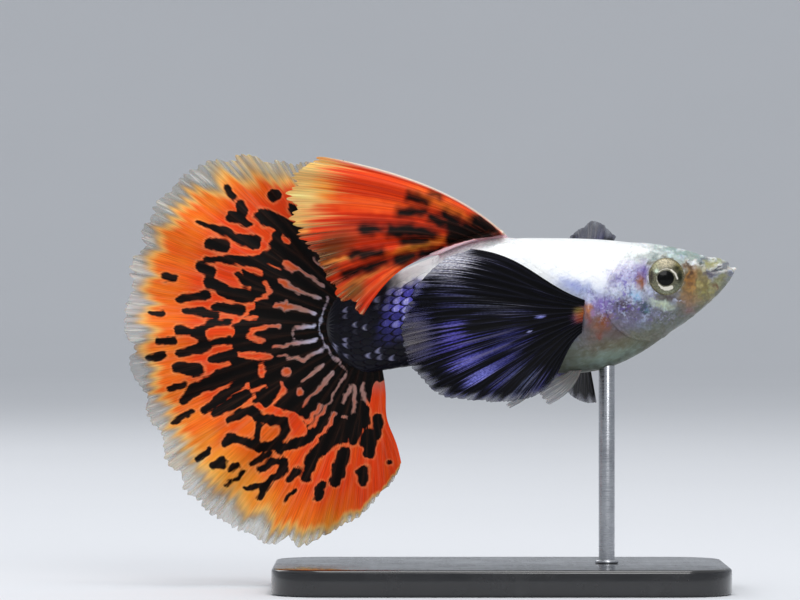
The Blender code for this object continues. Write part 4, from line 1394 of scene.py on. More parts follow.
@dataclass
class Fin:
    """A thin ruffled sheet of forked rays and membrane, thin at its frayed margin.

    Columns of faces lie across the rays and stations along them. The rays fork twice, each time between
    two of the shares in forks, and are thicker than the membrane by ridge. From the share thin_from on,
    the sheet thins over the share thin_over to its margin, whose notches are about fray deep.
    """

    name: str
    node: str
    slot: str
    finish: FinFinish
    columns: int = 200
    stations: int = 100
    rays: int = 14
    forks: tuple[float, float, float, float] = (0.2, 0.5, 0.5, 0.85)
    membrane: float = 0.1
    ridge: float = 0.14
    margin: float = 0.035
    thin_from: float = 0.72
    thin_over: float = 0.28
    fray: float = 0.03
    seed: int = 1

    def place(self, across: Array, along: Array) -> Array:
        """Returns the middle surface, for shares across and along from 0 to 1."""
        raise NotImplementedError

    def paint_sheet(self, across: Array, along: Array, points: Array) -> tuple[Array, Array, Array]:
        """Returns the light colour, the distance outside dark pigment and how clear the fin is."""
        raise NotImplementedError

    def on_ray(self, across: Array, along: Array) -> Array:
        """Draws the rays, which fork twice on their way out.

        Args:
            across: Share from first ray to last.
            along: Share from root to margin.

        Returns:
            How near each place is to the middle of a ray, 1 on it.
        """
        first, first_end, second, second_end = self.forks
        lane = np.abs((across * self.rays) % 1.0 - 0.5)
        lane = np.abs(lane - 0.25 * ease((along - first) / (first_end - first)))
        lane = np.abs(lane - 0.125 * ease((along - second) / (second_end - second)))
        return bell(lane, mix(0.15, 0.055, ease(along / 0.8)))

    def reach(self, across: Array) -> Array:
        """Frays the margin.

        Args:
            across: Share from first ray to last.

        Returns:
            How far out the margin lies at each share, near 1.
        """
        coarse = np.clip(0.5 + 0.5 * Ripple(self.seed, 1.1 / self.rays).at(across), 0, 2)
        fine = np.clip(0.5 + 0.5 * Ripple(self.seed + 50, 0.23 / self.rays).at(across), 0, 2)
        web = 1 - self.on_ray(across, np.ones_like(across))
        return 1 - self.fray * (coarse**1.6 + 0.5 * fine**1.5 + 0.15 * web)

    def build(self) -> None:
        """Makes the fin."""
        deselect()
        bpy.ops.mesh.primitive_grid_add(x_subdivisions=self.columns, y_subdivisions=self.stations, size=1.0)
        obj = bpy.context.object
        obj.name = self.name
        flat = coordinates(obj.data)
        across = flat[:, 0] + 0.5
        along = (flat[:, 1] + 0.5) * self.reach(across)
        points = self.place(across, along)
        put_coordinates(obj.data, points)
        tint, ink, veil = self.paint_sheet(across, along, points)
        ray = self.on_ray(across, along)
        put_colours(obj.data, "tint", tint)
        put_values(obj.data, "ink", ink)
        put_values(obj.data, "veil", veil)
        put_values(obj.data, "ray", ray)
        thick = self.membrane + self.ridge * ray * (1 - 0.65 * along)
        thick = mix(thick, self.margin, ease((along - self.thin_from) / self.thin_over))
        most = float(thick.max())
        group = obj.vertex_groups.new(name="thickness")
        for i, weight in enumerate((thick / most).tolist()):
            group.add((i,), weight, "REPLACE")
        apply_modifier(obj, "SOLIDIFY", thickness=most * MM, offset=0.0, vertex_group=group.name)
        obj.vertex_groups.clear()
        bpy.ops.object.shade_smooth()
        finish_piece(obj, self.finish.make(), (self.node,))


@dataclass
class TailFan(Fin):
    """The wide tail fan, orange with black marks that run along its rays."""

    name: str = "guppy_tail_fin"
    node: str = "tail_fin"
    slot: str = "orange_fin"
    finish: FinFinish = FinFinish("tail_orange", paint(9, 7, 6), paint(50, 30, 22), 420.0, 9.0, 0.16)
    columns: int = 440
    stations: int = 110
    rays: int = 22
    ridge: float = 0.1
    sweep: Point = (99.0, 281.5)
    folds: float = 11.0
    fold_depth: float = 0.8
    fine_depth: float = 0.035
    flat_root: float = 0.3
    lilac: Colour = paint(196, 202, 236)
    dusky: Colour = paint(172, 134, 128)
    brown: Colour = paint(196, 92, 46)
    red: Colour = paint(240, 72, 22)
    orange: Colour = paint(250, 114, 28)
    gold: Colour = paint(255, 172, 58)
    halo: Colour = paint(255, 176, 112)
    cream: Colour = paint(244, 190, 104)
    smoke: Colour = paint(120, 124, 112)
    warm_snow: Colour = paint(255, 232, 170)
    cool_snow: Colour = paint(236, 238, 248)
    warm_spots: tuple[tuple[float, float, float, float], ...] = (
        (226, 15.0, 9.5, 0.9), (130, 5.0, 12.0, 0.7), (259, 5.0, 11.5, 0.5),
    )
    margin_width: Curve = Curve((
        (99, 1.5), (108, 2.1), (120, 2.5), (135, 2.7), (150, 2.2), (165, 1.8), (178, 2.2), (192, 1.9),
        (205, 2.0), (218, 2.6), (232, 2.7), (244, 2.2), (255, 1.3), (264, 0.9), (272, 0.6), (281.5, 0.3),
    ))
    fringe: Curve = Curve((
        (99, 0.3), (110, 0.5), (121, 0.6), (128, 1.0), (134, 0.5), (141, 0.15), (150, 0.25), (160, 0.3),
        (168, 0.9), (173, 0.7), (179, 0.6), (185, 0.25), (195, 0.2), (202, 0.6), (208, 0.6), (213, 0.8),
        (220, 0.35), (228, 0.4), (236, 0.15), (244, 0.35), (251, 0.6), (258, 1.0), (263, 0.9), (270, 0.4),
        (281.5, 0.3),
    ))
    edge: Curve = Curve((
        (99, 12.7), (117, 14.0), (131, 17.2), (145, 18.8), (165, 19.0), (184, 18.85), (203, 18.5),
        (225, 19.1), (240, 18.7), (250, 17.9), (262, 15.4), (281.5, 10.8),
    ))
    dark_root: Curve = Curve((
        (99, 9.5), (128, 9.9), (135, 10.4), (143, 9.9), (150, 10.2), (158, 10.7), (163, 9.7), (172, 9.1),
        (178, 10.3), (185, 10.8), (197, 11.0), (205, 10.6), (216, 10.3), (221, 9.4), (228, 8.9), (235, 8.9),
        (240, 9.9), (244, 9.6), (248, 10.5), (252, 9.8), (258, 8.8), (262, 8.2), (266, 7.8), (268.5, 5.5),
        (271, 4.5), (281.5, 4.1),
    ))
    light: tuple[Stroke, ...] = (
        (0.19, 141.5, 4.9, 143, 7.2), (0.36, 144.5, 7.4, 144.5, 8.2),
        (0.19, 153, 4.5, 155.5, 6.3, 154.5, 7.6), (0.26, 154.5, 7.3, 154.3, 7.9),
        (0.19, 167.5, 4.5, 167, 6.2), (0.2, 165, 6.9, 170.5, 6.8), (0.28, 167.3, 6.4, 168, 7.5),
        (0.17, 181, 4.5, 181, 5.8), (0.08, 182, 6.1, 190, 6.2), (0.17, 180, 7.1, 180.5, 8.2),
        (0.2, 180.5, 8.2, 182, 9.1, 184.5, 9.5, 187.5, 8.7), (0.16, 193.5, 4.5, 193, 6.0, 192, 7.7),
        (0.17, 158.5, 8.9, 161.5, 8.2, 165, 8.5, 167, 9), (0.15, 167, 9.0, 169, 9.6),
        (0.3, 170.5, 9.7, 174, 9.7), (0.17, 176, 8.9, 177, 10.5), (0.34, 135.6, 9.2, 135.4, 9.5),
        (0.24, 155, 9.4, 155.5, 10.8), (0.1, 148.5, 8.2, 150, 9.3), (0.12, 131, 5.8, 131, 6.8),
        (0.15, 205.6, 4.3, 205, 5.4, 207, 5.9, 203.5, 6.2, 200.6, 6.9), (0.36, 208.1, 7.45),
        (0.19, 218, 4.9, 218, 6.8), (0.33, 221.6, 7.5), (0.24, 229.4, 4.8, 229, 6.2),
        (0.17, 229, 6.2, 228.3, 8.2), (0.11, 239.4, 4.2, 240, 7.2), (0.2, 236.3, 7.3, 236, 8.7, 231, 9.1),
        (0.18, 239.8, 7.2, 238.6, 9.2), (0.2, 245.6, 7.3, 246.5, 8.2, 243.5, 9.4),
        (0.15, 248.8, 4.9, 249, 6.3), (0.2, 252.5, 4.8, 256.5, 6.0, 257.5, 7.2, 252, 7.2),
        (0.18, 260, 4.5, 262.5, 5.6, 268, 6.0), (0.3, 196.9, 8.2, 194.4, 9.2, 191.9, 10.5),
        (0.32, 199.8, 9.0, 204.2, 9.3), (0.2, 211.9, 8.2, 215.6, 8.3, 218, 9.7),
        (0.2, 209.5, 9.5, 207, 11.3), (0.25, 262.5, 8.0, 268, 7.9), (0.2, 187.6, 11.0, 189.6, 12.2),
        (0.36, 180.5, 11.2, 182.9, 12.3), (0.14, 198.5, 6.9, 197.5, 7.6), (0.22, 252, 9.7, 257, 9.2),
        (0.2, 187.5, 8.7, 187.8, 8.3),
        (0.08, 147, 4.05, 160, 3.95, 175, 4.0, 190, 4.1, 205, 3.9, 222, 3.8, 240, 3.85),
    )
    dark: tuple[Stroke, ...] = (
        (0.3, 124, 10.4, 124.8, 10.9), (0.46, 127.3, 12.4), (0.52, 131.3, 9.8, 133.6, 11, 135.6, 12),
        (0.64, 134.9, 11.5), (0.34, 161.5, 10.1, 159.2, 11), (0.22, 185.7, 10.9, 185.8, 12.5),
        (0.26, 137, 15.2, 137.6, 14.4), (0.33, 142.4, 13.6, 141.2, 13, 141.1, 12.3),
        (0.3, 137.8, 13.6, 139.8, 12.9), (0.52, 145.2, 11.1, 147, 12), (0.2, 147.6, 13.2, 147.6, 12.4),
        (0.28, 147.7, 13.3, 148.5, 14.2), (0.17, 148.5, 14.2, 149.7, 15.5), (0.46, 152, 12.9, 153.4, 13.9),
        (0.34, 151, 10, 155.5, 12.1), (0.2, 156, 12.3, 158.3, 13.7),
        (0.34, 160.8, 13.9, 161.6, 13, 165.4, 12.9, 166, 11.9, 167.3, 11.2), (0.45, 167, 9.7, 167, 11.8),
        (0.38, 173.4, 10.2, 173.1, 12), (0.3, 169.5, 12.9, 172.2, 14.8),
        (0.26, 176.4, 12.1, 175.4, 13.2, 175.4, 14.3), (0.25, 166.6, 15.5, 166.7, 16.3),
        (0.17, 176.7, 16, 176.8, 16.9), (0.25, 184.2, 15.1, 184.2, 16.3), (0.29, 187.9, 16.1, 188.2, 17.1),
        (0.33, 181.2, 14.7, 182.5, 13.1, 187, 12.8, 188, 14.8), (0.2, 178.5, 11, 179.5, 12.5, 181.5, 13),
        (0.35, 191.5, 10.9, 191.8, 12.4), (0.44, 194, 13.7, 193, 14.5, 191.8, 15.2),
        (0.62, 197.9, 10.2, 199.6, 14.4), (0.34, 199.6, 14.4, 201.6, 15.6), (0.21, 197.1, 15.1, 197.2, 16.2),
        (0.3, 203.4, 10.9, 205.4, 12.8, 206.6, 14.3), (0.36, 208.6, 10.9, 209, 13.8),
        (0.15, 205.3, 15.2, 205.8, 16.8),
        (0.3, 230.3, 10.4, 226.1, 10, 222.7, 10.5, 218.7, 11.1, 214.6, 11.3, 213.3, 12.1, 213.2, 13.1),
        (0.28, 230.3, 10.4, 230.2, 11.7, 226.6, 12.7, 222, 13.1, 219.5, 13.5, 217, 13.7),
        (0.24, 221.5, 11.6, 224.5, 12.5), (0.33, 233, 11.7, 236, 10.8, 240, 9.9),
        (0.22, 231.8, 13.9, 233.4, 12.9, 236.4, 12.3, 238.1, 12.8, 236.9, 13.8, 235.7, 14.6, 232, 15.7),
        (0.21, 230.8, 12.5, 228.3, 14), (0.28, 242.2, 12.4, 241.3, 13.2), (0.14, 244.2, 13.8, 243.3, 14.8),
        (0.45, 251, 8, 248.3, 9.6, 245.2, 11, 246.1, 12.6), (0.26, 252.1, 12.6, 251.8, 13.7),
        (0.47, 257, 9.9, 256, 12.1), (0.21, 236.3, 14.8, 236.4, 15.7), (0.4, 221.9, 15.5, 221.2, 16),
        (0.21, 225.8, 14.7, 225, 15.3), (0.11, 228.5, 14.8, 227, 16.5), (0.22, 217.1, 15.6, 217.2, 16.7),
        (0.44, 265.9, 11.1, 266.2, 11.7), (0.55, 267.6, 8.4, 267.9, 9.5), (0.33, 273.2, 7, 272.5, 8.3),
        (0.48, 262, 6.3, 265, 7.4), (0.48, 259, 7.2, 260, 8.8), (0.12, 277, 10.4),
        (0.3, 218.5, 14.0, 218.3, 14.4), (0.16, 211.0, 9.6, 212.5, 10.6),
    )

    def place(self, across: Array, along: Array) -> Array:
        """Shapes the fan, in folds that deepen to the edge.

        Args:
            across: Share from first ray to last.
            along: Share from root to margin.

        Returns:
            The points, one row each.
        """
        degrees = mix(*self.sweep, across)
        edge = self.edge.at(degrees)
        reach = mix(BODY.stalk_radius - 0.35, edge, along)
        angle = np.radians(degrees - 3.5 * bell(reach - 6.8, 1.7) * ease((across - 0.9) / 0.1))
        x = BODY.stalk_x + reach * np.cos(angle)
        z = BODY.stalk_z + reach * np.sin(angle)
        free = (reach - BODY.stalk_radius - self.flat_root) / (edge - BODY.stalk_radius - self.flat_root)
        wave = np.sin(self.folds * angle + 0.6) + 0.45 * np.sin(2.3 * self.folds * angle)
        fold = self.fold_depth * wave + self.fine_depth * np.sin(8 * self.folds * angle)
        return np.stack((x, BODY.spine(x) + fold * np.clip(free, 0, 1) ** 1.6, z), axis=-1)

    def paint_sheet(self, across: Array, along: Array, points: Array) -> tuple[Array, Array, Array]:
        """Paints the fan.

        Args:
            across: Share from first ray to last.
            along: Share from root to margin; not used.
            points: The middle surface.

        Returns:
            The light colour, the distance outside dark pigment and how clear the fin is.
        """
        x, _, z = points.T
        degrees = mix(*self.sweep, across)
        radius = np.hypot(x - BODY.stalk_x, z - BODY.stalk_z)
        bend_x = x + 0.07 * Ripple(21, 1.3).at(x, z) + 0.035 * Ripple(27, 0.5).at(x, z)
        bend_z = z + 0.07 * Ripple(22, 1.3).at(x, z) + 0.035 * Ripple(28, 0.5).at(x, z)
        root = radius - self.dark_root.at(degrees) - 0.15 * Ripple(23, 0.9).at(x, z)
        light = -stroke_gap(self.drawn(self.light), bend_x, bend_z, 0.07, 0.25)
        ink = np.maximum(root, light - 0.035)
        ink = np.minimum(ink, stroke_gap(self.drawn(self.dark), bend_x, bend_z, 0.09, 0.25) - 0.06)
        wide = self.margin_width.at(degrees)
        left = self.edge.at(degrees) - radius
        left = left + wide * (0.16 * Ripple(24, 0.05).at(across) + 0.11 * Ripple(26, 0.014).at(across))
        share = left / wide
        white = self.fringe.at(degrees) * np.clip(0.7 + 0.6 * Ripple(29, 0.012).at(across), 0, 1)
        snow = tinge(np.array(self.warm_snow), self.cool_snow, bell(degrees - 184, 36.0))
        snowy = white * ease((1.0 - share) / 0.6)
        tint = mix(self.tone(degrees, radius, share, ink), snow, snowy[:, None])
        ink = ink + 2.0 * ease((0.5 - share) / 0.4)
        return tint, ink, ease((1.0 - share) / 0.75) * (1 - 0.75 * white)

    def drawn(self, strokes: tuple[Stroke, ...]) -> tuple[Stroke, ...]:
        """Turns strokes that are drawn round the fan into strokes in X and Z.

        Args:
            strokes: Strokes through points given in degrees and reach.

        Returns:
            The same strokes in X and Z.
        """
        drawn = []
        for half, *flat in strokes:
            row = [half]
            for degrees, reach in zip(flat[::2], flat[1::2]):
                turn = math.radians(degrees)
                row += [BODY.stalk_x + reach * math.cos(turn), BODY.stalk_z + reach * math.sin(turn)]
            drawn.append(tuple(row))
        return tuple(drawn)

    def tone(self, degrees: Array, radius: Array, share: Array, ink: Array) -> Array:
        """Returns the colour between the marks.

        Args:
            degrees: Angle of each place round the fan.
            radius: Its distance from the stalk's centre.
            share: Its distance from the margin, as a share of the clear margin's width.
            ink: Its distance outside the dark marks.

        Returns:
            Colours, one row a place.
        """
        out = ease((radius - mix(6.6, 3.0, ease((degrees - 260) / 9))) / 2.6)
        core = ease((ink - 0.02) / 0.13)
        root = tinge(np.array(self.dusky), self.brown, core * ease((radius - 5.2) / 1.6))
        past_core = ease((radius - 4.4) / mix(0.8, 2.4, bell(degrees - 189, 10.0)))
        root = tinge(root, self.lilac, bell(degrees - 182, 34.0) * (1 - past_core))
        warmth = ease((radius - 13.0) / 2.5)
        for middle, width, start, strength in self.warm_spots:
            warmth = warmth + strength * bell(degrees - middle, width) * ease((radius - start) / 2.0)
        warmth = np.clip(warmth + 0.16 * Ripple(25, 5.0).at(degrees, 1.4 * radius), 0, 2)
        body = tinge(np.array(self.red), self.orange, np.clip(warmth, 0, 1))
        body = tinge(body, self.gold, np.clip(warmth - 1, 0, 1))
        tone = tinge(mix(root, body, out[:, None]), self.halo, 0.35 * bell(ink - 0.05, 0.07) * out)
        pale = tinge(np.array(self.cream), self.smoke, ease((0.95 - share) / 0.5))
        return mix(tone, pale, ease((1.25 - share) / 0.45)[:, None])


@dataclass
class DorsalFin(Fin):
    """The trailing dorsal fin, red and orange with dark blotches and a pale front edge."""

    name: str = "guppy_dorsal_fin"
    node: str = "dorsal_fin"
    slot: str = "orange_fin"
    finish: FinFinish = FinFinish(
        "dorsal_red", paint(14, 8, 6), paint(60, 30, 22), 200.0, 2.0, 0.08, softness=0.36, jitter=0.42,
        ray_end=paint(244, 216, 160),
    )
    columns: int = 260
    stations: int = 170
    rays: int = 8
    ridge: float = 0.06
    seed: int = 4
    front: Colour = paint(255, 240, 226)
    foot: Colour = paint(236, 204, 220)
    tip_low: Colour = paint(124, 82, 44)
    tip_high: Colour = paint(252, 214, 130)
    base: Colour = paint(226, 58, 18)
    streaked: Colour = (0.16, 0.34, 0.4)
    spread: float = 0.09
    root_x: Point = (0.75, -4.3)
    lean: float = 1.5
    fold_depth: float = 0.4
    clear_of_body: float = 0.55
    bend_front: Point = (-3.5, 30.85)
    bend_rear: Point = (-7.9, 24.9)
    edge_x: Curve = Curve((
        (0.0, -14.0), (0.2, -16.0), (0.45, -15.6), (0.65, -13.95), (0.85, -12.5), (1.0, -10.3),
    ))
    edge_z: Curve = Curve(((0.0, 32.6), (0.2, 30.6), (0.45, 27.0), (0.65, 24.9), (0.85, 22.2), (1.0, 20.5)))
    dark: tuple[Stroke, ...] = (
        (0.4, -1.4, 28.0, -0.75, 27.3, -0.3, 26.8), (0.5, -3.6, 26.3, -2.2, 26.3, -0.7, 26.6),
        (0.6, -3.6, 27.4, -3.0, 26.8, -2.5, 26.4), (0.45, -2.6, 27.1, -1.4, 26.8),
        (0.34, -4.1, 28.2, -3.4, 27.7), (0.36, -5.1, 27.9, -3.9, 27.3), (0.3, -6.7, 29.5, -5.6, 29.1),
        (0.34, -7.4, 28.3, -5.7, 28.35), (0.4, -1.9, 27.6, -1.1, 27.1),
        (0.46, -8.1, 26.9, -6.8, 26.95, -5.0, 26.7), (0.34, -7.2, 26.15, -5.5, 26.2),
        (0.34, -5.85, 25.2, -4.3, 25.55), (0.4, -7.6, 24.7, -6.5, 25.1), (0.4, -10.2, 27.0, -9.1, 27.0),
        (0.37, -11.0, 25.1, -8.9, 25.3), (0.3, -11.6, 23.7, -9.8, 24.2, -8.6, 24.6),
        (0.12, -5.1, 29.7, -4.5, 29.5),
    )
    # Among these tones, the dark red band at X -9.7, Z 27.5 along the fold and the browns at X -12.3, -13.0
    # and -10.9 at the lower rear are painted shade.
    tones_and_fold_shade: tuple[Patch, ...] = ovals(
        (-4.5, 29.0, 4.2, 0.45, (240, 120, 40), -28, 0.8), (-8.6, 30.8, 3.8, 1.1, (226, 64, 20)),
        (-9.6, 28.9, 3.6, 0.5, (250, 92, 30), -4, 0.9), (-9.7, 27.5, 2.6, 0.6, (170, 34, 8), 0, 0.85),
        (-12.3, 25.9, 1.8, 1.1, (122, 56, 26), 20, 0.95), (-9.3, 25.9, 1.8, 0.4, (206, 50, 18)),
        (-13.0, 24.6, 1.0, 1.2, (112, 64, 30), -20, 0.9), (-8.8, 24.5, 2.6, 0.3, (176, 38, 12), 22, 0.8),
        (-5.8, 25.9, 2.0, 0.33, (246, 140, 44), 14, 0.9), (-11.9, 24.75, 1.5, 0.2, (230, 138, 60), 12),
        (-10.2, 23.4, 1.9, 0.22, (232, 128, 58), 24, 0.95), (-8.2, 23.7, 2.2, 0.2, (240, 96, 40), 40),
        (-10.9, 22.4, 1.2, 0.7, (110, 78, 36), 40, 0.9), (-13.9, 30.0, 1.4, 0.9, (250, 160, 50), 0, 0.8),
        (-15.2, 29.5, 1.3, 0.9, (250, 226, 150)), (-15.3, 31.5, 1.5, 0.9, (190, 178, 120), 0, 0.85),
        (-15.4, 27.2, 0.9, 0.6, (246, 186, 90)), (-14.0, 32.0, 1.6, 0.35, (246, 180, 90), 0, 0.85),
        (-3.2, 27.6, 1.6, 0.45, (206, 74, 34), 0, 0.6),
    )

    def place(self, across: Array, along: Array) -> Array:
        """Shapes the fin, which trails back and drapes over the stalk's -Y side.

        Args:
            across: Share from first ray to last.
            along: Share from root to margin.

        Returns:
            The points, one row each.
        """
        t = along
        root_x = mix(*self.root_x, across)
        root_z = BODY.back.at(root_x) - 0.15
        bend_x = mix(self.bend_front[0], self.bend_rear[0], across)
        bend_z = mix(self.bend_front[1], self.bend_rear[1], across)
        x = (1 - t) ** 2 * root_x + 2 * t * (1 - t) * bend_x + t * t * self.edge_x.at(across)
        z = (1 - t) ** 2 * root_z + 2 * t * (1 - t) * bend_z + t * t * self.edge_z.at(across)
        lean = self.lean * mix(0.45, 1.0, across) * t**0.8
        fold = np.sin(FULL_TURN * (3.6 * across + 0.3 * np.sin(FULL_TURN * 1.4 * across)) + 0.5)
        y = mix(BODY.spine(root_x), 0.0, ease(2 * t)) - lean + self.fold_depth * fold * t**1.3
        clear = BODY.flank(x, z, self.clear_of_body)
        over_body = (clear > 0) & (t > 0.05)
        y = np.where(over_body, np.minimum(y, BODY.spine(x) - clear), y)
        return np.stack((x, y, z), axis=-1)

    def paint_sheet(self, across: Array, along: Array, points: Array) -> tuple[Array, Array, Array]:
        """Paints the fin.

        Args:
            across: Share from first ray to last.
            along: Share from root to margin.
            points: The middle surface.

        Returns:
            The light colour, the distance outside dark pigment and how clear the fin is.
        """
        x, _, z = points.T
        bend_x = x + 0.1 * Ripple(31, 1.3).at(x, z)
        bend_z = z + 0.07 * Ripple(32, 0.9).at(x, z)
        tint = lay_patches(np.full((len(x), 3), self.base), self.tones_and_fold_shade, bend_x, bend_z)
        streak = Ripple(34, 0.05).at(across, 0.04 * along) + 0.7 * Ripple(35, 0.018).at(across, 0.02 * along)
        tint = tint * np.exp(np.clip(streak, -1.2, 1.2)[:, None] * np.array(self.streaked))
        edge = bell(across, mix(0.03, 0.011, ease(along / 0.5))) * ease((1.05 - along) / 0.3)
        tint = tinge(tint, self.front, np.minimum(1.0, 1.3 * edge))
        hem = bell(z - BODY.back.at(x) - 0.06, 0.15) * ease((x + 6.8) / 1.0) * ease((0.5 - along) / 0.3)
        tint = tinge(tint, self.foot, np.minimum(1.0, 1.4 * hem))
        marks = stroke_gap(self.dark, bend_x, bend_z, 0.14, 0.3) - self.spread
        ink = marks + 1.5 * edge + 1.6 * ease((hem - 0.3) / 0.4)
        left = (1 - along) * 10.0 + 0.6 * Ripple(33, 0.07).at(across) + 0.4 * Ripple(36, 0.02).at(across)
        # The tips run from tip_low's brown below to tip_high's pale yellow above; the darker lower tips are
        # partly the fin's colour and partly painted shade.
        upper = ease((z - 26.6) / 1.2)
        tip = tinge(np.array(self.tip_low), self.tip_high, upper)
        tint = mix(tint, tip, 0.75 * ease((mix(0.9, 1.9, upper) - left) / 1.9)[:, None])
        return tint, ink, 0.7 * ease((mix(1.4, 1.0, upper) - left) / 1.6)


@dataclass
class PectoralFin(Fin):
    """A black pectoral fin with deep blue streaks and a clear grey margin.

    The haze, streaks and glints are given by tens of degrees and distance from the root, and the orange
    and brown root_spots by share across. The streaks open the black to the light colours. The margin
    stays white near white_ray, where it catches the light.
    """

    slot: str = "black_fin"
    finish: FinFinish = FinFinish(
        "pectoral_black", paint(4, 4, 6), paint(26, 27, 40), 230.0, 2.2, 0.25, 0.75, 0.45, 0.1, 1.0,
        paint(96, 100, 114), glow_through=0.0, dots=0.65,
    )
    columns: int = 280
    stations: int = 130
    rays: int = 13
    ridge: float = 0.1
    fray: float = 0.018
    root_top: Point = (6.55, 21.75)
    root_low: Point = (6.3, 19.3)
    root_shift: float = 0.0
    sweep: Point = (0.0, 90.0)
    span: Curve = Curve(((0.0, 10.0), (90.0, 10.0)))
    clear_from: float = 1.3
    white: float = 0.0
    white_ray: float = 162.0
    ruffles: float = 2.75
    ruffle_depth: float = 0.32
    blue: Colour = paint(56, 58, 128)
    grey: Colour = paint(52, 55, 66)
    root_spots: tuple[Patch, ...] = ovals(
        (0.42, -0.1, 0.22, 0.75, (190, 104, 44)), (0.28, 0.45, 0.1, 0.4, (132, 116, 48), 0, 0.9),
        (0.57, 0.1, 0.1, 0.4, (140, 54, 38), 0, 0.9),
    )
    haze: Patch = Patch(0.0, -9.0, 1.0, 1.0)
    streaks: tuple[Patch, ...] = ()
    glints: tuple[Patch, ...] = ()

    def ray_at(self, across: Array) -> tuple[Array, Array]:
        """Returns the angle and the length of the ray at a share across."""
        degrees = mix(*self.sweep, across)
        return degrees, self.span.at(degrees)

    def root_at(self, across: Array) -> tuple[Array, Array]:
        """Returns X and Z of the root at a share across."""
        x = mix(self.root_top[0], self.root_low[0], across) + self.root_shift
        return x, mix(self.root_top[1], self.root_low[1], across)

    def ruffle(self, across: Array, along: Array) -> Array:
        """Returns how far the fin's ruffles stand out."""
        return self.ruffle_depth * np.sin(FULL_TURN * self.ruffles * across) * along**1.4

    def paint_sheet(self, across: Array, along: Array, points: Array) -> tuple[Array, Array, Array]:
        """Paints the fin.

        Args:
            across: Share from first ray to last.
            along: Share from root to margin.
            points: The middle surface; not used.

        Returns:
            The light colour, the distance outside dark pigment and how clear the fin is.
        """
        degrees, length = self.ray_at(across)
        radius = length * along
        tint = lay_patches(np.full((len(across), 3), self.blue), self.glints, degrees / 10, radius)
        left = length - radius + 0.22 * Ripple(self.seed + 40, 0.05).at(across)
        kept_white = self.white * bell(degrees - self.white_ray, 9.0)
        margin = ease((self.clear_from - left) / 1.6) * (1 - kept_white)
        tint = tinge(tint, self.grey, margin)
        shown = sum(streak.cover(degrees / 10, radius) for streak in self.streaks)
        hazy = self.haze.cover(degrees / 10, radius)
        root = self.root_spots[0].cover(across, radius)
        ink = 0.42 * np.clip(shown, 0, 1) - 0.27 + 0.5 * np.maximum(margin, hazy) + 0.7 * root
        tint = lay_patches(tinge(tint, self.haze.colour, hazy), self.root_spots, across, radius)
        return tint, ink, np.maximum(margin, 0.55 * hazy)


@dataclass
class NearPectoral(PectoralFin):
    """The right pectoral fin, swept back along the flank."""

    name: str = "guppy_pectoral_fin_right"
    node: str = "pectoral_fin_right"
    seed: int = 6
    root_shift: float = -0.75
    white: float = 1.0
    sweep: Point = (155.0, 246.0)
    span: Curve = Curve((
        (155, 9.0), (162, 10.5), (169, 11.7), (179, 12.85), (187, 13.3), (195, 13.2), (202, 12.5),
        (209, 11.7), (216, 9.9), (227, 7.7), (240, 5.4), (246, 3.7),
    ))
    streaks: tuple[Patch, ...] = (
        Patch(21.0, 7.9, 0.24, 2.3), Patch(20.2, 8.4, 0.3, 2.4, strength=0.9),
        Patch(19.5, 8.2, 0.3, 2.6, strength=0.62), Patch(18.8, 2.9, 0.16, 0.42),
        Patch(18.95, 9.4, 0.38, 1.1, strength=0.72), Patch(19.85, 3.8, 0.07, 0.2),
        Patch(21.8, 6.4, 0.3, 2.2, strength=0.66), Patch(22.8, 5.4, 0.4, 1.6, strength=0.6),
        Patch(18.2, 6.4, 0.5, 3.0, strength=0.52), Patch(16.2, 10.7, 0.7, 2.5),
        Patch(17.4, 9.6, 0.5, 1.6, strength=0.5), Patch(20.2, 5.0, 1.2, 1.6, strength=0.5),
        Patch(23.6, 5.0, 0.3, 1.5, strength=0.55),
    )
    haze: Patch = Patch(18.9, 12.4, 0.85, 1.7, paint(70, 68, 78), 0, 0.9)
    arch: float = 6.5
    root_lap: float = 0.45
    stand_off: float = 0.55
    flare: float = 0.2
    clear_of_body: float = 0.7
    glints: tuple[Patch, ...] = ovals(
        (21.1, 8.6, 0.4, 1.5, (126, 130, 226)), (20.3, 9.4, 0.4, 1.4, (104, 104, 206)),
        (18.8, 2.9, 0.18, 0.42, (150, 156, 236)), (19.85, 3.8, 0.08, 0.2, (170, 174, 220)),
        (18.95, 9.4, 0.5, 1.2, (84, 80, 190)), (16.2, 10.4, 0.9, 2.6, (236, 238, 250)),
        (17.6, 6.0, 1.0, 3.0, (84, 88, 104)), (22.6, 5.6, 0.8, 1.6, (78, 86, 120)),
        (19.5, 9.6, 0.5, 1.2, (72, 66, 170)),
    )

    def place(self, across: Array, along: Array) -> Array:
        """Shapes the fin, fanned back and standing a little off the body.

        Args:
            across: Share from first ray to last.
            along: Share from root to margin.

        Returns:
            The points, one row each.
        """
        degrees, length = self.ray_at(across)
        root_x, root_z = self.root_at(across)
        angle = np.radians(degrees - self.arch * (1 - across) ** 3 * np.sin(math.pi * along))
        reach = length * along
        x = root_x + self.root_lap * (1 - along) ** 6 + reach * np.cos(angle)
        z = root_z + reach * np.sin(angle)
        out = BODY.flank(root_x, root_z) + self.stand_off + self.flare * reach - 0.35 * (1 - along) ** 8
        nearest = BODY.flank(x, z, self.clear_of_body) * ease(along * 6)
        y = BODY.spine(x) - np.maximum(out + self.ruffle(across, along), nearest)
        return np.stack((x, y, z), axis=-1)


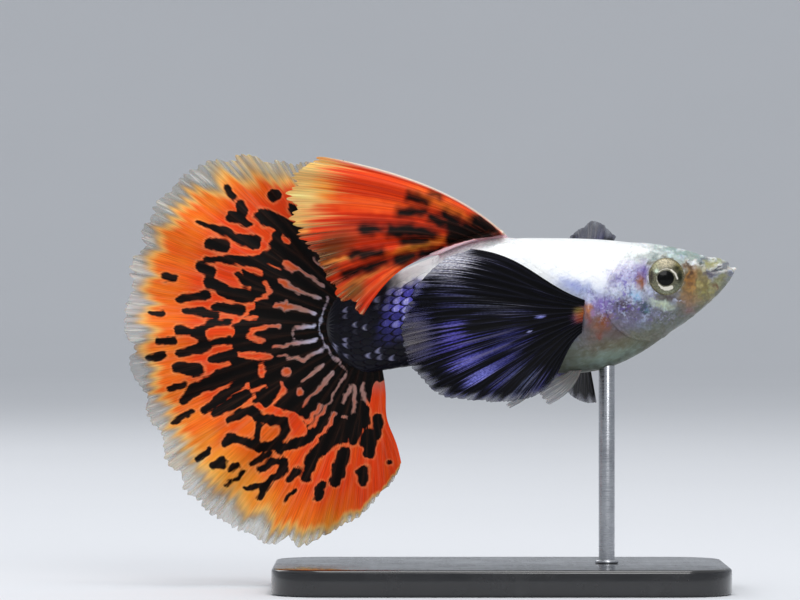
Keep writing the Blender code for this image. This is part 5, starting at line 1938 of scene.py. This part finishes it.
@dataclass
class FarPectoral(PectoralFin):
    """The left pectoral fin, spread sideways like an ear."""

    name: str = "guppy_pectoral_fin_left"
    node: str = "pectoral_fin_left"
    seed: int = 8
    root_shift: float = 0.2
    sweep: Point = (62.0, -58.0)
    span: Curve = Curve(((-58, 6.4), (-35, 8.9), (0, 11.8), (30, 10.1), (42, 8.9), (52, 8.0), (62, 5.5)))
    forward: Curve = Curve((
        (-58, 1.3), (-30, -2.0), (0, -2.9), (30, -1.1), (42, -0.4), (52, 0.45), (62, 2.2),
    ))
    streaks: tuple[Patch, ...] = (
        Patch(-2.6, 6.6, 0.5, 2.2), Patch(-1.5, 7.4, 0.4, 2.4, strength=0.7),
        Patch(0.4, 7.0, 1.0, 3.0, strength=0.55), Patch(2.6, 6.2, 0.8, 2.6, strength=0.5),
    )
    haze: Patch = Patch(4.9, 7.4, 1.7, 2.2, paint(76, 80, 98), 0, 0.95)
    glints: tuple[Patch, ...] = ovals(
        (-2.2, 7.6, 0.8, 1.6, (104, 108, 196)), (1.5, 6.0, 1.4, 2.4, (84, 88, 104)),
    )

    def place(self, across: Array, along: Array) -> Array:
        """Shapes the fin, spread out to +Y.

        Args:
            across: Share from first ray to last.
            along: Share from root to margin.

        Returns:
            The points, one row each.
        """
        degrees, length = self.ray_at(across)
        root_x, root_z = self.root_at(across)
        out = 0.55 - 0.35 * (2 * across - 1) ** 2 + 0.3
        root_y = BODY.flank(root_x, root_z) + out - 0.7 * (1 - along) ** 8
        x = root_x + self.forward.at(degrees) * along**1.3 + self.ruffle(across, along)
        angle, reach = np.radians(degrees), length * along
        return np.stack((x, root_y + reach * np.cos(angle), root_z + reach * np.sin(angle)), axis=-1)


@dataclass
class SmallFin(Fin):
    """A small clear fin under the belly."""

    slot: str = "clear_fin"
    finish: FinFinish = FinFinish("clear_grey", paint(40, 42, 48), paint(120, 124, 132), 60.0, 3.0, 0.4, 0.7)
    columns: int = 60
    stations: int = 50
    rays: int = 4
    ridge: float = 0.1
    fray: float = 0.07
    root: Colour = paint(118, 120, 122)
    tip: Colour = paint(160, 166, 178)

    def paint_sheet(self, across: Array, along: Array, points: Array) -> tuple[Array, Array, Array]:
        """Paints the fin.

        Args:
            across: Share from first ray to last.
            along: Share from root to margin.
            points: The middle surface; not used.

        Returns:
            The light colour, the distance outside dark pigment and how clear the fin is.
        """
        tint = tinge(np.array(self.root), self.tip, ease(along))
        return tint, np.ones(len(across)), 0.25 + 0.6 * ease(along)


@dataclass
class PelvicFin(SmallFin):
    """A pelvic fin, held back under the belly."""

    side: Side = Side.RIGHT
    root_x: Point = (6.1, 5.2)
    root_y: float = 0.72
    tip_x: float = 3.55
    tip_z: float = 13.85

    def place(self, across: Array, along: Array) -> Array:
        """Shapes the fin, held back from the belly.

        Args:
            across: Share from first ray to last.
            along: Share from root to margin.

        Returns:
            The points, one row each.
        """
        root_x = mix(*self.root_x, across)
        root_z = BODY.belly_z(root_x, self.root_y) - 0.4 + 0.45 * (1 - along) ** 4
        bulge = 0.35 * np.sin(math.pi * along) * (0.5 - across)
        y = self.side.value * (self.root_y + 0.75 * along)
        x = mix(root_x, self.tip_x - 0.9 * across, along) + bulge
        return np.stack((x, y, mix(root_z, self.tip_z + 1.15 * across, along) - bulge), axis=-1)


@dataclass
class Gonopodium(SmallFin):
    """The male's narrow anal fin."""

    name: str = "guppy_gonopodium"
    node: str = "gonopodium"
    rays: int = 3
    columns: int = 40
    root_x: Point = (3.5, 2.5)
    tip_x: float = 0.65
    tip_z: float = 13.6

    def place(self, across: Array, along: Array) -> Array:
        """Shapes the fin, one narrow blade.

        Args:
            across: Share from first ray to last.
            along: Share from root to margin.

        Returns:
            The points, one row each.
        """
        root_x = mix(*self.root_x, across)
        root_z = BODY.belly.at(root_x) - 0.3 + 0.5 * (1 - along) ** 4
        width = 0.3 * across
        x = mix(root_x, self.tip_x - width, along)
        z = mix(root_z, self.tip_z + width, along) - 0.3 * np.sin(math.pi * along)
        return np.stack((x, 0 * x, z), axis=-1)


@dataclass
class Stand:
    """A flat black acrylic base and one steel rod up to the breast."""

    length: float = 34.0
    width: float = 21.0
    thickness: float = 2.0
    corner: float = 4.0
    rod_x: float = 8.0
    rod_radius: float = 0.6
    rod_top: float = 15.0
    socket_gap: float = 0.06

    def soften(self, obj: bpy.types.Object, width: float, segments: int, degrees: float) -> None:
        """Bevels the edges that turn by more than an angle."""
        limit = {"limit_method": "ANGLE", "angle_limit": math.radians(degrees)}
        apply_modifier(obj, "BEVEL", width=width * MM, segments=segments, **limit)

    def join(self, obj: bpy.types.Object, kind: str) -> None:
        """Cuts the newest shape out of a piece or adds it to it, and smooths the result.

        Args:
            obj: The piece.
            kind: DIFFERENCE or UNION.
        """
        other = bpy.context.object
        apply_modifier(obj, "BOOLEAN", operation=kind, object=other, solver="EXACT")
        bpy.data.objects.remove(other)
        obj.select_set(True)
        bpy.context.view_layer.objects.active = obj
        bpy.ops.object.shade_smooth_by_angle(angle=math.radians(35))

    def base(self) -> None:
        """Makes the base: a plate with round corners, a softened rim and a socket."""
        deselect()
        bpy.ops.mesh.primitive_cube_add(size=1.0, location=(0, 0, self.thickness / 2 * MM))
        obj = bpy.context.object
        obj.name = "guppy_stand_base"
        obj.scale = (self.length * MM, self.width * MM, self.thickness * MM)
        bpy.ops.object.transform_apply(location=True, rotation=True, scale=True)
        bpy.ops.object.mode_set(mode="EDIT")
        bpy.ops.mesh.select_mode(type="EDGE")
        bpy.ops.mesh.select_all(action="DESELECT")
        bpy.ops.object.mode_set(mode="OBJECT")
        for edge in obj.data.edges:
            a, b = (obj.data.vertices[i].co for i in edge.vertices)
            edge.select = abs(a.z - b.z) > self.thickness / 2 * MM
        bpy.ops.object.mode_set(mode="EDIT")
        bpy.ops.mesh.bevel(offset=self.corner * MM, segments=12, affect="EDGES")
        bpy.ops.object.mode_set(mode="OBJECT")
        self.soften(obj, 0.28, 4, 60)
        bpy.ops.mesh.primitive_cylinder_add(
            vertices=64, radius=(self.rod_radius + self.socket_gap) * MM, depth=2 * MM,
            location=(self.rod_x * MM, 0, (self.thickness + 0.2) * MM),
        )
        self.join(obj, "DIFFERENCE")
        finish_piece(obj, AcrylicFinish().make(), ("stand_base",))

    def rod(self) -> None:
        """Makes the rod, with a collar at its foot and its top cut to the slope of the breast."""
        deselect()
        foot = self.thickness - 0.75
        bpy.ops.mesh.primitive_cylinder_add(
            vertices=64, radius=self.rod_radius * MM, depth=(self.rod_top - foot) * MM,
            location=(self.rod_x * MM, 0, (self.rod_top + foot) / 2 * MM), end_fill_type="TRIFAN",
        )
        obj = bpy.context.object
        obj.name = "guppy_stand_rod"
        bpy.ops.object.transform_apply(location=True, rotation=True, scale=True)
        places = coordinates(obj.data) / MM
        top = places[:, 2] > self.rod_top / 2
        places[top, 2] = BODY.belly_z(places[top, 0], places[top, 1]) + 0.1
        put_coordinates(obj.data, places)
        self.soften(obj, 0.05, 2, 40)
        bpy.ops.mesh.primitive_torus_add(
            major_segments=64, minor_segments=16, major_radius=(self.rod_radius + 0.12) * MM,
            minor_radius=0.16 * MM, location=(self.rod_x * MM, 0, (self.thickness + 0.12) * MM),
        )
        bpy.ops.object.transform_apply(location=True, rotation=True, scale=True)
        self.join(obj, "UNION")
        finish_piece(obj, SteelFinish().make(), ("stand_rod",))


@dataclass
class Studio:
    """The pale floor that curves up all round, soft lights and the camera."""

    floor_radius: float = 1.2
    wall_radius: float = 0.9
    steps: int = 12
    world: float = 0.6
    sky: Colour = (0.93, 0.96, 1.0)
    aim: Vector = (0, 0, 0.02)
    camera_place: Vector = (-7.5 * MM, -0.4, 21.75 * MM)
    sensor_mm: float = 36.0
    lens_mm: float = 240.0

    def floor(self) -> None:
        """Makes the floor and the wall round it, as one bowl."""
        deselect()
        bpy.ops.mesh.primitive_circle_add(vertices=96, radius=self.floor_radius, fill_type="NGON")
        obj = bpy.context.object
        obj.name = "studio_floor"
        bpy.ops.object.mode_set(mode="EDIT")
        bpy.ops.mesh.select_mode(type="EDGE")
        bpy.ops.mesh.select_all(action="SELECT")
        radius, height = self.floor_radius, 0.0
        for k in range(1, self.steps + 1):
            turn = math.pi / 2 * k / self.steps
            wide = self.floor_radius + self.wall_radius * math.sin(turn)
            high = self.wall_radius * (1 - math.cos(turn))
            bpy.ops.mesh.extrude_edges_move(TRANSFORM_OT_translate={"value": (0, 0, high - height)})
            bpy.ops.transform.resize(value=(wide / radius, wide / radius, 1), center_override=(0, 0, high))
            radius, height = wide, high
        bpy.ops.object.mode_set(mode="OBJECT")
        bpy.ops.object.shade_smooth()
        obj.data.materials.append(FloorFinish().make())

    def lamp(self, name: str, place: Vector, size: float, power: float) -> None:
        """Adds a soft lamp that faces the fish.

        Args:
            name: Its name.
            place: Where it hangs, in metres.
            size: Its width, in metres.
            power: Its power, in watts.
        """
        bpy.ops.object.light_add(type="AREA", location=place)
        lamp = bpy.context.object
        lamp.name = name
        lamp.data.size = size
        lamp.data.energy = power
        away = np.array(place) - np.array(self.aim)
        flat = math.hypot(away[0], away[1])
        lamp.rotation_euler = (math.atan2(flat, away[2]), 0, math.atan2(away[0], -away[1]))
        lamp.visible_camera = False

    def light(self) -> None:
        """Sets soft daylight all round, with lamps overhead, by the camera and behind the fish."""
        scene = bpy.context.scene
        scene.world = bpy.data.worlds.new("studio")
        scene.world.use_nodes = True
        background = scene.world.node_tree.nodes["Background"]
        background.inputs["Color"].default_value = (*self.sky, 1.0)
        background.inputs["Strength"].default_value = self.world
        self.lamp("overhead", (0.02, -0.1, 0.5), 0.3, 1.15)
        self.lamp("key", (0.1, -0.42, 0.26), 0.2, 0.6)
        self.lamp("rim", (-0.3, 0.34, 0.3), 0.25, 0.5)
        scene.view_settings.view_transform = "Standard"

    def camera(self) -> None:
        """Sets the camera square to the fish's right side."""
        bpy.ops.object.camera_add(location=self.camera_place, rotation=(math.pi / 2, 0, 0))
        camera = bpy.context.object
        camera.data.sensor_width = self.sensor_mm
        camera.data.lens = self.lens_mm
        camera.data.clip_start = 0.001
        bpy.context.scene.camera = camera

    def build(self) -> None:
        """Sets up the studio."""
        self.floor()
        self.light()
        self.camera()


def main() -> None:
    """Builds every piece, in order from the body out."""
    logging.basicConfig(level=logging.INFO, format="%(name)s %(message)s")
    Skin().build()
    ScaleCoat().build()
    for side in Side:
        Eye(side).build()
    TailFan().build()
    DorsalFin().build()
    NearPectoral().build()
    FarPectoral().build()
    for side in Side:
        name = f"pelvic_fin_{side.name.lower()}"
        PelvicFin(name=f"guppy_{name}", node=name, side=side, seed=12).build()
    Gonopodium().build()
    stand = Stand()
    stand.base()
    stand.rod()
    Studio().build()


if __name__ == "__main__":
    main()
